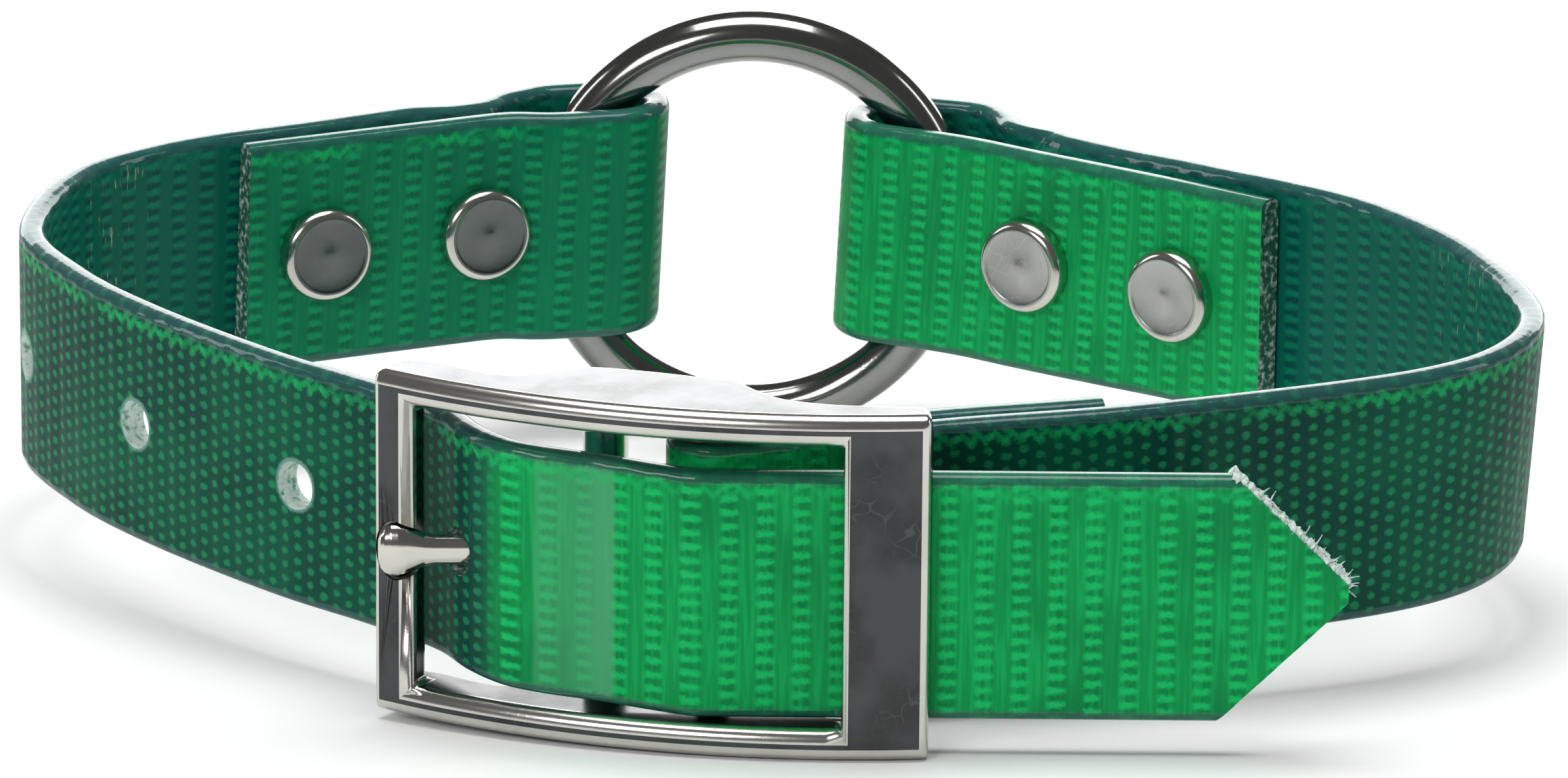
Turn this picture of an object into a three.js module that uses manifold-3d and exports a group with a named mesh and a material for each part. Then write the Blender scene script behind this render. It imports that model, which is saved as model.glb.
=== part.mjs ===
// Dog collar of coated webbing: two straps, a curved double-bar buckle with its tongue,
// an O-ring held in two riveted strap folds, and the rivets. Millimetres, +Z up.
// The plan is drawn with +Y to the back, y = 0 on the middle of the strap behind the buckle's keeper
// bar, and z = 0 on the straps' lower edge. The whole is then tipped to rest on buckle and ring.
import * as THREE from 'three';
import { mergeVertices } from 'three/addons/utils/BufferGeometryUtils.js';
import Module from 'manifold-3d';

const wasm = await Module();
wasm.setup();

// Straps
const strapWidth = 19.05;
const strapThickness = 2.2;
const gap = 0.3;
const loopHalfWidth = 61.3;
const loopDepth = 96.2;
const freeEndLength = 32.1;
const pointLength = 9;
const pointTipWidth = 2.4;
const holeRadius = 1.95;
const holePitch = 20.1;
const tongueHolePull = 0.1;
const holeCount = 4;
const freeEndDrop = 1.4;
const shortStrapDrop = 0.8;
const sideLean = 1.3;
const backLean = 0.9;
const rightSag = 0.9;
const freeEndDropRun = 22;
const longFoldPull = 4;
const shortFoldPull = 5;
const heelStraight = 0.5;

// O-ring
const ringWireRadius = 2.2;
const ringRadius = 16.55;
const ringOffsetX = -2.9;
const ringSag = 1.0;
const ringClearance = 0.6;
const leftFoldAngle = THREE.MathUtils.degToRad(13);
const rightFoldAngle = THREE.MathUtils.degToRad(24);

// Buckle
const buckleFrontRadius = 64;
const buckleCentreX = 4.5;
const keeperThickness = 2.1;
const buckleLeftAngle = THREE.MathUtils.degToRad(-34.4);
const buckleRightAngle = THREE.MathUtils.degToRad(6.1);
const buckleHeight = 27.8;
const windowHeight = 22.8;
const plateDepth = 9.9;
const restBarWidth = 3.4;
const restBarThickness = 2.5;
const keeperBarWidth = 6.7;
const barClearance = 1.75;
const curlClearance = 0.95;
const strapRiseAtPost = 1.9;
const postRadius = 1.75;
const heelBarRadius = 1.3;
const postX = -13.7;
const heelBarX = -5.3;
const flatBeforeHeel = 1.3;

// Tongue
const tongueWidth = 2.4;
const tongueThickness = 1.5;
const curlThickness = 1.3;
const curlHeight = 5;
const tipRadius = 2.05;
const tipThickness = 1.25;
const tipLength = 1.6;
const tipFromEnd = 2.1;
const tipSunk = 0.45;
const tipClearance = 0.42;
const tongueDrop = 0.4;

// Rivets
const rivetCapRadius = 4;
const rivetBackCapRadius = 3.2;
const rivetCapThickness = 1.3;
const rivetShankRadius = 1.6;
const rivetDimpleDepth = 0.45;
const rivetPitch = 14.5;
const leftEndMargin = 6.9;
const rightEndMargin = 8.9;
const buckleEndMargin = 7.2;

// Where the straps settle, in shares of the loop's half width (out) and of its depth (back)
const frontHalfBack = 0.5;
const backLeanBack = { from: 0.75, to: 0.9 };
const sideLeanOut = { from: 0.6, to: 1 };
const sideLeanBack = { from: 0.4, to: 0.7 };
const shortDropBack = { from: 0.6, to: 0.85 };
const rightSagOut = { from: 0.2, to: 0.6 };
const rightSagEndOut = { from: 0.62, to: 0.95 };

// Rivet cap's rounded edge, in shares of its rounding, and the dimple's floor, in shares of the shank
const capEdgeInset = 0.3;
const capEdgeDrop = 0.4;
const dimpleFloor = 0.6;

// Facets
const weldDistance = 1e-4;
const strapStep = 3;
const plateStep = 2.2;
const turnSteps = 8;
const bridgeSteps = 6;
const roundSides = 20;
const capSides = 18;
const seatSides = 24;
const heldSteps = 4;
const frontSteps = 18;
const restBarSteps = 3;
const keeperBarSteps = 5;
const wireSides = 12;
const ringSides = 48;
const tipSides = 20;
const tipRows = 14;
const cutOverrun = 1;

const midHeight = strapWidth / 2;
const halfThickness = strapThickness / 2;
const layerPitch = strapThickness + gap;
const buckleCentreY = buckleFrontRadius - halfThickness - gap - keeperThickness;
const plateThickness = (buckleHeight - windowHeight) / 2;

// Plan of each strap's middle from the first rivet of its ring fold towards the buckle: out is a share of
// the loop's half width, back is a share of the loop's depth. The short strap's last row is the first
// rivet of its buckle fold.
const longStrapStations = [
  { out: -0.440, back: 0.965 },
  { out: -0.636, back: 0.908 },
  { out: -0.785, back: 0.862 },
  { out: -0.871, back: 0.820 },
  { out: -0.953, back: 0.753 },
  { out: -1.000, back: 0.599 },
  { out: -0.928, back: 0.479 },
  { out: -0.832, back: 0.385 },
  { out: -0.646, back: 0.248 },
  { out: -0.512, back: 0.169 },
];
const shortStrapStations = [
  { out: 0.363, back: 0.911 },
  { out: 0.573, back: 0.825 },
  { out: 0.749, back: 0.727 },
  { out: 0.834, back: 0.654 },
  { out: 0.914, back: 0.553 },
  { out: 0.961, back: 0.396 },
  { out: 0.914, back: 0.300 },
  { out: 0.814, back: 0.234 },
  { out: 0.460, back: 0.135 },
  { out: 0.207, back: 0.090 },
  { out: 0.078, back: 0.060 },
];

// The long strap bends forward between the rest bar and the post: along is a share of the way to the
// post, rise is a share of the strap's height above its place at the post.
const windowBend = [
  { along: 0.20, rise: 0.49 },
  { along: 0.40, rise: 0.19 },
  { along: 0.61, rise: 0.08 },
];

// Back edge of the buckle's two plates: along is a share of the front arc from the left end,
// depth is a share of the deepest lobe, which carries the two bars.
const plateSections = [
  { along: 0.000, depth: 0.40 },
  { along: 0.076, depth: 0.48 },
  { along: 0.189, depth: 0.45 },
  { along: 0.241, depth: 0.54 },
  { along: 0.301, depth: 0.83 },
  { along: 0.346, depth: 0.94 },
  { along: 0.451, depth: 0.98 },
  { along: 0.557, depth: 0.95 },
  { along: 0.642, depth: 0.89 },
  { along: 0.688, depth: 0.70 },
  { along: 0.743, depth: 0.50 },
  { along: 0.831, depth: 0.39 },
  { along: 0.891, depth: 0.36 },
  { along: 1.000, depth: 0.29 },
];

const plan = (x, y) => new THREE.Vector2(x, y);
const inwardOf = (direction, side) => plan(-direction.y * side, direction.x * side);
const smooth = (value, low, high) => THREE.MathUtils.smoothstep(value, low, high);

// Manifold booleans on three.js geometry.
function toSolid(geometry) {
  const bare = geometry.clone();
  bare.deleteAttribute('normal');
  bare.deleteAttribute('uv');
  const merged = mergeVertices(bare, weldDistance);
  return new wasm.Manifold(new wasm.Mesh({
    numProp: 3,
    vertProperties: new Float32Array(merged.attributes.position.array),
    triVerts: new Uint32Array(merged.index.array),
  }));
}

function toGeometry(solid) {
  const mesh = solid.getMesh();
  const geometry = new THREE.BufferGeometry();
  geometry.setAttribute('position', new THREE.BufferAttribute(new Float32Array(mesh.vertProperties), 3));
  geometry.setIndex(new THREE.BufferAttribute(new Uint32Array(mesh.triVerts), 1));
  return geometry;
}

function extruded(outline, fromZ, toZ) {
  const shape = new THREE.Shape(outline);
  const geometry = new THREE.ExtrudeGeometry(shape, { depth: toZ - fromZ, bevelEnabled: false });
  return geometry.translate(0, 0, fromZ);
}

function moveVertices(geometry, move) {
  const position = geometry.attributes.position;
  const point = new THREE.Vector3();
  for (let i = 0; i < position.count; i += 1) {
    point.fromBufferAttribute(position, i);
    move(point);
    position.setXYZ(i, point.x, point.y, point.z);
  }
  return geometry;
}

// A cylinder whose axis is horizontal, along a plan direction.
function crossBore(radius, centre, z, direction, from, to, sides = roundSides) {
  const geometry = new THREE.CylinderGeometry(radius, radius, to - from, sides);
  geometry.translate(0, (from + to) / 2, 0);
  geometry.rotateZ(-Math.PI / 2);
  geometry.rotateZ(Math.atan2(direction.y, direction.x));
  return geometry.translate(centre.x, centre.y, z);
}

// Curves in the plan
function splineThrough(points) {
  const raised = points.map((p) => new THREE.Vector3(p.x, p.y, 0));
  return new THREE.CatmullRomCurve3(raised, false, 'centripetal');
}

function spaced(curve, step) {
  const count = Math.max(2, Math.round(curve.getLength() / step));
  return curve.getSpacedPoints(count).map((p) => plan(p.x, p.y));
}

function directionsOf(points) {
  return points.map((p, i) => {
    const before = points[Math.max(0, i - 1)];
    const after = points[Math.min(points.length - 1, i + 1)];
    return after.clone().sub(before).normalize();
  });
}

function offsetPath(points, distance) {
  const directions = directionsOf(points);
  return points.map((p, i) => p.clone().addScaledVector(inwardOf(directions[i], 1), distance));
}

function pointAlong(points, distance) {
  let left = distance;
  for (let i = 1; i < points.length; i += 1) {
    const length = points[i].distanceTo(points[i - 1]);
    if (left <= length) {
      const direction = points[i].clone().sub(points[i - 1]).normalize();
      return { at: points[i - 1].clone().addScaledVector(direction, left), direction };
    }
    left -= length;
  }
  const last = points.length - 1;
  return { at: points[last].clone(), direction: directionsOf(points)[last] };
}

function pathUpTo(points, distance) {
  const kept = [points[0]];
  let length = 0;
  for (let i = 1; i < points.length; i += 1) {
    length += points[i].distanceTo(points[i - 1]);
    if (length >= distance) break;
    kept.push(points[i]);
  }
  kept.push(pointAlong(points, distance).at);
  return kept;
}

function bridge(from, fromDirection, to, toDirection, pull, count) {
  const curve = new THREE.CubicBezierCurve(
    from,
    from.clone().addScaledVector(fromDirection, pull),
    to.clone().addScaledVector(toDirection, -pull),
    to,
  );
  return curve.getPoints(count).slice(1, -1);
}

// A fold: the strap comes in on its outer layer, turns round a bar or wire, and lies back inside.
// The turn is centred on pivot, and away is the plan direction from the pivot to the rivets.
function foldPath({ pivot, away, side, turnRadius, straight, holds, main, pull, endMargin }) {
  const inward = inwardOf(away, side);
  const turn = [];
  for (let i = 0; i <= turnSteps; i += 1) {
    const angle = (Math.PI * i) / turnSteps;
    turn.push(pivot.clone()
      .addScaledVector(inward, turnRadius * Math.cos(angle))
      .addScaledVector(away, -turnRadius * Math.sin(angle)));
  }
  const insideStart = turn[0].clone().addScaledVector(away, straight);
  const outside = roundHeld(holds, away, inward, main[0]);
  const leaving = directionsOf(outside)[outside.length - 1];
  const mainDirection = directionsOf(main)[0];
  const inner = offsetPath(main, side * layerPitch);
  const backward = mainDirection.clone().negate();
  const innerJoin = bridge(inner[0], backward, insideStart, away.clone().negate(), pull, bridgeSteps);
  const outerJoin = bridge(outside[outside.length - 1], leaving, main[0], mainDirection, pull, bridgeSteps);
  const lyingBack = pathUpTo(inner, rivetPitch + endMargin).reverse();
  return [...lyingBack, ...innerJoin, insideStart, ...turn, ...outside, ...outerJoin];
}

// The outer layer bends over what the fold holds, on an arc that points it at the main run.
function roundHeld({ centre, radius }, away, inward, target) {
  const toTarget = target.clone().sub(centre);
  const along = Math.atan2(toTarget.dot(inward), toTarget.dot(away));
  const sweep = along + Math.asin(radius / toTarget.length());
  const points = [];
  for (let i = 0; i <= heldSteps; i += 1) {
    const angle = (sweep * i) / heldSteps;
    points.push(centre.clone()
      .addScaledVector(away, radius * Math.sin(angle))
      .addScaledVector(inward, -radius * Math.cos(angle)));
  }
  return points;
}

// A strap is a ribbon of four-cornered sections, one at each point of its path, closed at both ends.
function strapSolid(path, settle) {
  const innerEdge = offsetPath(path, halfThickness);
  const outerEdge = offsetPath(path, -halfThickness);
  const position = [];
  path.forEach((_, i) => {
    const [inner, outer] = [innerEdge[i], outerEdge[i]];
    position.push(outer.x, outer.y, 0, inner.x, inner.y, 0);
    position.push(inner.x, inner.y, strapWidth, outer.x, outer.y, strapWidth);
  });
  const corners = 4;
  const index = [0, 2, 1, 0, 3, 2];
  for (let i = 1; i < path.length; i += 1) {
    for (let c = 0; c < corners; c += 1) {
      const near = (i - 1) * corners;
      const far = i * corners;
      const next = (c + 1) % corners;
      index.push(near + c, far + next, far + c, near + c, near + next, far + next);
    }
  }
  const last = (path.length - 1) * corners;
  index.push(last, last + 1, last + 2, last, last + 2, last + 3);
  const geometry = new THREE.BufferGeometry();
  geometry.setAttribute('position', new THREE.Float32BufferAttribute(position, 3));
  geometry.setIndex(index);
  return toSolid(moveVertices(geometry, settle));
}

// Ring folds: the pocket holds the wire at every height of the strap, where the ring curves away.
const ringPlace = plan(ringOffsetX, loopDepth);
const ringInnerRadius = ringRadius - ringWireRadius;
const ringZ = midHeight - ringSag;
const farthestHeight = midHeight + ringSag;
const wireOut = { far: ringRadius, near: Math.sqrt(ringRadius ** 2 - farthestHeight ** 2) };
const wireReach = Math.sqrt(ringInnerRadius ** 2 - farthestHeight ** 2);

function ringPocket(angle, side) {
  const leanRoom = side < 0 ? backLean / 2 : 0;
  const away = plan(-side * Math.cos(angle), -Math.sin(angle));
  const outward = inwardOf(away, side).negate();
  const slant = Math.sin(angle);
  const middle = ((wireOut.far + wireOut.near) / 2) * slant;
  const halfRoom = ((wireOut.far - wireOut.near) / 2) * slant + ringWireRadius + ringClearance;
  const turnCentre = wireReach * Math.cos(angle) - gap - leanRoom + halfRoom;
  const pivot = ringPlace.clone()
    .addScaledVector(away, turnCentre)
    .addScaledVector(outward, middle);
  const straight = wireOut.far * Math.cos(angle) - turnCentre;
  const holds = {
    centre: ringPlace.clone().add(plan(-side * wireOut.far, 0)),
    radius: ringWireRadius + ringClearance + leanRoom + halfThickness,
  };
  return { pivot, away, side, turnRadius: halfRoom + halfThickness, straight, holds };
}

const toPlan = ({ out, back }) => plan(out * loopHalfWidth, back * loopDepth);

// Buckle placed by its front arc.
function onBuckleArc(angle, radius) {
  return plan(buckleCentreX + radius * Math.sin(angle), buckleCentreY - radius * Math.cos(angle));
}

const buckleSweep = buckleRightAngle - buckleLeftAngle;
const arcLength = buckleFrontRadius * buckleSweep;
const angleAlong = (share) => buckleLeftAngle + share * buckleSweep;

// Long strap: ring fold, left side, under the rest bar, over both bars, under the keeper bar.
const keeperX = buckleCentreX + buckleFrontRadius * Math.sin(buckleRightAngle);
const freeEndX = keeperX + freeEndLength;
const behindRestBar = onBuckleArc(
  angleAlong(restBarWidth / arcLength),
  buckleFrontRadius - restBarThickness - barClearance - halfThickness,
);
const frontOfPost = plan(postX, strapRiseAtPost);
const longStations = [
  ...longStrapStations.map(toPlan),
  behindRestBar,
  ...windowBend.map(({ along, rise }) => plan(
    THREE.MathUtils.lerp(behindRestBar.x, frontOfPost.x, along),
    THREE.MathUtils.lerp(frontOfPost.y, behindRestBar.y, rise),
  )),
  frontOfPost,
  plan(heelBarX - flatBeforeHeel, 0),
];
const longMain = [
  ...spaced(splineThrough(longStations), strapStep),
  plan(keeperX - keeperBarWidth / 2, 0),
  plan(freeEndX, 0),
];
const longFold = foldPath({
  ...ringPocket(leftFoldAngle, 1),
  main: longMain,
  pull: longFoldPull,
  endMargin: leftEndMargin,
});
const longPath = [...longFold, ...longMain];

// Short strap: ring fold, right side, and a second fold round the heel bar.
const heelTurnRadius = heelBarRadius + gap + halfThickness;
const heelPlace = plan(heelBarX, layerPitch + heelTurnRadius);
const shortMainStations = shortStrapStations.map(toPlan);
const heelAway = shortMainStations[shortMainStations.length - 1].clone().sub(heelPlace).normalize();
const shortMain = spaced(splineThrough(shortMainStations), strapStep);
const shortRingFold = foldPath({
  ...ringPocket(rightFoldAngle, -1),
  main: shortMain,
  pull: shortFoldPull,
  endMargin: rightEndMargin,
});
const shortMainFromHeel = [...shortMain].reverse();
const heelFold = foldPath({
  pivot: heelPlace,
  away: heelAway,
  side: 1,
  turnRadius: heelTurnRadius,
  straight: heelStraight,
  holds: { centre: heelPlace, radius: heelTurnRadius },
  main: shortMainFromHeel,
  pull: shortFoldPull,
  endMargin: buckleEndMargin,
});
const shortPath = [...shortRingFold, ...shortMain, ...[...heelFold].reverse()];

// The straps settle a little: the free end sits low in the buckle, the right side leans out and sags
// between its rivets and the ring, and both ring folds lean over to the right.
const acrossShare = (z) => z / strapWidth - 0.5;
const depthShare = (y) => y / loopDepth;
const outShare = (x) => x / loopHalfWidth;
const isFrontHalf = (point) => depthShare(point.y) < frontHalfBack;
const rise = (share, { from, to }) => smooth(share, from, to);

function leanBack(point) {
  point.x += backLean * rise(depthShare(point.y), backLeanBack) * acrossShare(point.z);
}

function settleLong(point) {
  leanBack(point);
  if (isFrontHalf(point)) {
    point.z -= freeEndDrop * smooth(point.x, heelBarX - freeEndDropRun, heelBarX);
  }
}

function settleShort(point) {
  leanBack(point);
  const out = outShare(point.x);
  const back = depthShare(point.y);
  point.x += sideLean * rise(out, sideLeanOut) * (1 - rise(back, sideLeanBack)) * acrossShare(point.z);
  point.z -= shortStrapDrop * rise(back, shortDropBack);
  if (!isFrontHalf(point)) {
    point.z -= rightSag * rise(out, rightSagOut) * (1 - rise(out, rightSagEndOut));
  }
}

function settledHeight(settle, at) {
  const point = new THREE.Vector3(at.x, at.y, midHeight);
  settle(point);
  return point.z;
}

// Rivets: two caps on one shank, turned about the strap's own cross direction.
const rivetGrip = 2 * strapThickness + 3 * gap;

function rivetProfile() {
  const half = rivetGrip / 2;
  const top = half + rivetCapThickness;
  const round = rivetCapThickness / 2;
  const inset = round * capEdgeInset;
  const drop = round * capEdgeDrop;
  return [
    plan(0, -top),
    plan(rivetBackCapRadius - round, -top),
    plan(rivetBackCapRadius - inset, -top + drop),
    plan(rivetBackCapRadius, -top + round),
    plan(rivetBackCapRadius, -half),
    plan(rivetShankRadius, -half),
    plan(rivetShankRadius, half),
    plan(rivetCapRadius, half),
    plan(rivetCapRadius, top - round),
    plan(rivetCapRadius - inset, top - drop),
    plan(rivetCapRadius - round, top),
    plan(rivetShankRadius, top),
    plan(rivetShankRadius * dimpleFloor, top - rivetDimpleDepth),
    plan(0, top - rivetDimpleDepth),
  ];
}

// One rivet of a fold: at is on the outer layer's middle, inward points at the wearer's neck.
function rivetAt(at, inward, settle) {
  const centre = at.clone().addScaledVector(inward, layerPitch / 2);
  return { centre, inward, z: settledHeight(settle, centre) };
}

function rivetGeometry({ centre, inward, z }) {
  const geometry = new THREE.LatheGeometry(rivetProfile(), capSides);
  geometry.rotateZ(-Math.PI / 2);
  geometry.rotateZ(Math.atan2(inward.y, inward.x));
  return geometry.translate(centre.x, centre.y, z);
}

function rivetRow(main, side, settle) {
  return [0, rivetPitch].map((distance) => {
    const { at, direction } = pointAlong(main, distance);
    return rivetAt(at, inwardOf(direction, side), settle);
  });
}

const rivets = {
  rivet_ring_left: rivetRow(longMain, 1, settleLong),
  rivet_ring_right: rivetRow(shortMain, -1, settleShort),
  rivet_buckle: rivetRow(shortMainFromHeel, 1, settleShort),
};

// Room that a rivet needs in a strap: its shank's hole, and the seats its caps are pressed into.
function rivetRoom({ centre, inward, z }) {
  const half = rivetGrip / 2;
  const seat = half - gap;
  const seatDepth = rivetCapThickness + strapThickness;
  return [
    crossBore(rivetShankRadius + gap, centre, z, inward, -half - gap, half + gap),
    crossBore(rivetCapRadius + gap, centre, z, inward, seat, seat + seatDepth, seatSides),
    crossBore(rivetBackCapRadius + gap, centre, z, inward, -seat - seatDepth, -seat, seatSides),
  ];
}

function cutAll(solid, cutters) {
  return cutters.reduce((left, cutter) => left.subtract(toSolid(cutter)), solid);
}

function frontArc(fromShare, toShare, radius, count) {
  const points = [];
  for (let i = 0; i <= count; i += 1) {
    const share = THREE.MathUtils.lerp(fromShare, toShare, i / count);
    points.push(onBuckleArc(angleAlong(share), radius));
  }
  return points;
}

function plateOutline() {
  const front = frontArc(0, 1, buckleFrontRadius, frontSteps);
  const back = plateSections.map(({ along, depth }) => (
    onBuckleArc(angleAlong(along), buckleFrontRadius - depth * plateDepth)));
  const backCurve = spaced(splineThrough(back), plateStep);
  return [...front, ...backCurve.reverse()];
}

function restBarOutline() {
  const share = restBarWidth / arcLength;
  const front = frontArc(0, share, buckleFrontRadius, restBarSteps);
  const back = frontArc(0, share, buckleFrontRadius - restBarThickness, restBarSteps);
  return [...front, ...back.reverse()];
}

function keeperBarOutline() {
  const share = 1 - keeperBarWidth / arcLength;
  const front = frontArc(share, 1, buckleFrontRadius, keeperBarSteps);
  const backY = -halfThickness - gap;
  return [...front, plan(front[keeperBarSteps].x, backY), plan(front[0].x, backY)];
}

const buckleBottom = midHeight - buckleHeight / 2;
const buckleTop = midHeight + buckleHeight / 2;
const windowBottom = midHeight - windowHeight / 2;
const windowTop = midHeight + windowHeight / 2;

function upright(radius, place, fromZ, toZ, sides) {
  const geometry = new THREE.CylinderGeometry(radius, radius, toZ - fromZ, sides);
  geometry.rotateX(Math.PI / 2);
  return geometry.translate(place.x, place.y, (fromZ + toZ) / 2);
}

// Tongue: a curl round the post, a shank through the strap, and a rounded tip in the rest bar.
const curlOuterRadius = postRadius + gap + curlThickness;
const postPlace = plan(postX, strapRiseAtPost + halfThickness + curlClearance + curlOuterRadius);
const tipAngle = angleAlong(tipFromEnd / arcLength);
const tipPlace = onBuckleArc(tipAngle, buckleFrontRadius - tipSunk);
const tongueDirection = tipPlace.clone().sub(postPlace).normalize();
const tongueSide = inwardOf(tongueDirection, 1);
const tongueZ = midHeight - tongueDrop;

function tongueBar(thickness, width, from, to) {
  const half = thickness / 2;
  const corner = (along, across) => postPlace.clone()
    .addScaledVector(tongueDirection, along)
    .addScaledVector(tongueSide, across);
  const outline = [corner(from, -half), corner(to, -half), corner(to, half), corner(from, half)];
  return extruded(outline, tongueZ - width / 2, tongueZ + width / 2);
}

function tongueRoom() {
  const reach = tipPlace.distanceTo(postPlace);
  return tongueBar(tongueThickness + 2 * gap, tongueWidth + 2 * gap, curlOuterRadius, reach);
}

function tipBall(extra) {
  const geometry = new THREE.SphereGeometry(1, tipSides, tipRows);
  geometry.scale(tipLength + extra, tipThickness + extra, tipRadius + extra);
  geometry.rotateZ(Math.atan2(tongueDirection.y, tongueDirection.x));
  return geometry.translate(tipPlace.x, tipPlace.y, tongueZ);
}

function tongueGeometry() {
  const curlBottom = tongueZ - curlHeight / 2;
  const curlTop = tongueZ + curlHeight / 2;
  const boreBottom = curlBottom - cutOverrun;
  const boreTop = curlTop + cutOverrun;
  const reach = tipPlace.distanceTo(postPlace);
  let solid = toSolid(upright(curlOuterRadius, postPlace, curlBottom, curlTop, seatSides));
  solid = solid.add(toSolid(tongueBar(tongueThickness, tongueWidth, postRadius + gap, reach)));
  solid = solid.add(toSolid(tipBall(0)));
  const postBore = upright(postRadius + gap, postPlace, boreBottom, boreTop, seatSides);
  return toGeometry(cutAll(solid, [postBore]));
}

function buckleGeometry() {
  const plate = plateOutline();
  const inBottomPlate = buckleBottom + plateThickness / 2;
  const inTopPlate = buckleTop - plateThickness / 2;
  let solid = toSolid(extruded(plate, windowTop, buckleTop));
  const parts = [
    extruded(plate, buckleBottom, windowBottom),
    extruded(restBarOutline(), buckleBottom, buckleTop),
    extruded(keeperBarOutline(), buckleBottom, buckleTop),
    upright(postRadius, postPlace, inBottomPlate, inTopPlate, roundSides),
    upright(heelBarRadius, heelPlace, inBottomPlate, inTopPlate, roundSides),
  ];
  for (const part of parts) {
    solid = solid.add(toSolid(part));
  }
  return toGeometry(cutAll(solid, [tipBall(tipClearance), tongueRoom()]));
}

// Where the tongue crosses the long strap, and the adjusting holes back from there.
function crossing() {
  for (let i = 1; i < longMain.length; i += 1) {
    const [a, b] = [longMain[i - 1], longMain[i]];
    const across = (p) => p.clone().sub(postPlace).dot(tongueSide);
    const along = b.clone().sub(postPlace).dot(tongueDirection);
    if (across(a) * across(b) <= 0 && along > 0 && a.y < loopDepth / 3) {
      let run = 0;
      for (let j = 1; j < i; j += 1) run += longMain[j].distanceTo(longMain[j - 1]);
      return run + a.distanceTo(b) * (across(a) / (across(a) - across(b)));
    }
  }
  return 0;
}

function adjustingHoles() {
  const tongueHole = crossing() - tongueHolePull;
  const holes = [];
  for (let i = 0; i < holeCount; i += 1) {
    const { at, direction } = pointAlong(longMain, tongueHole - i * holePitch);
    const z = i > 0 ? settledHeight(settleLong, at) : tongueZ;
    holes.push(crossBore(holeRadius, at, z, inwardOf(direction, 1), -strapThickness, strapThickness));
  }
  return holes;
}

// The free end's point: what lies beyond the two slanted cuts is taken away.
function pointCutters() {
  const pointHeight = midHeight - freeEndDrop;
  return [1, -1].map((way) => {
    const shape = new THREE.Shape([
      plan(freeEndX - pointLength, way * midHeight),
      plan(freeEndX, (way * pointTipWidth) / 2),
      plan(freeEndX + pointLength, (way * pointTipWidth) / 2),
      plan(freeEndX + pointLength, way * strapWidth),
      plan(freeEndX - pointLength, way * strapWidth),
    ]);
    const geometry = new THREE.ExtrudeGeometry(shape, { depth: 4 * strapThickness, bevelEnabled: false });
    geometry.rotateX(Math.PI / 2);
    return geometry.translate(0, 2 * strapThickness, pointHeight);
  });
}

function longStrapGeometry() {
  const room = rivets.rivet_ring_left.flatMap(rivetRoom);
  const cutters = [...room, ...adjustingHoles(), ...pointCutters(), tongueRoom()];
  return toGeometry(cutAll(strapSolid(longPath, settleLong), cutters));
}

function shortStrapGeometry() {
  const room = [...rivets.rivet_ring_right, ...rivets.rivet_buckle].flatMap(rivetRoom);
  return toGeometry(cutAll(strapSolid(shortPath, settleShort), room));
}

function ringGeometry() {
  const geometry = new THREE.TorusGeometry(ringRadius, ringWireRadius, wireSides, ringSides);
  geometry.rotateX(Math.PI / 2);
  return geometry.translate(ringPlace.x, ringPlace.y, ringZ);
}

const coating = { color: 0x1a8a4c, roughness: 0.3, metalness: 0 };
const nickel = { color: 0xc9c6bf, roughness: 0.22, metalness: 1 };

function piece(name, geometry, look) {
  const bare = geometry.clone();
  bare.deleteAttribute('normal');
  bare.deleteAttribute('uv');
  const merged = mergeVertices(bare, weldDistance);
  merged.computeVertexNormals();
  const mesh = new THREE.Mesh(merged, new THREE.MeshStandardMaterial(look));
  mesh.name = name;
  return mesh;
}

// The collar stands on the buckle's lower front edge and on the ring, so it tips back a little.
const buckleFrontY = buckleCentreY - buckleFrontRadius;
const restRun = loopDepth - buckleFrontY;
const restRise = ringZ - ringRadius - buckleBottom;
const tip = Math.asin(ringWireRadius / Math.hypot(restRun, restRise)) - Math.atan2(restRise, restRun);

const leaning = new THREE.Group();
leaning.rotation.x = tip;
leaning.add(piece('strap_long', longStrapGeometry(), coating));
leaning.add(piece('strap_short', shortStrapGeometry(), coating));
leaning.add(piece('buckle_frame', buckleGeometry(), nickel));
leaning.add(piece('tongue', tongueGeometry(), nickel));
leaning.add(piece('o_ring', ringGeometry(), nickel));
for (const [name, row] of Object.entries(rivets)) {
  row.forEach((rivet, i) => leaning.add(piece(`${name}_${i + 1}`, rivetGeometry(rivet), nickel)));
}

const collar = new THREE.Group();
collar.add(leaning);
collar.updateMatrixWorld(true);
const box = new THREE.Box3().setFromObject(collar, true);
const boxCentre = box.getCenter(new THREE.Vector3());
collar.position.set(-boxCentre.x, -boxCentre.y, -box.min.z);

export default collar;
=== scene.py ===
import math
import random

import bmesh
import bpy
from mathutils import Matrix, Vector
from mathutils.geometry import interpolate_bezier


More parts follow.
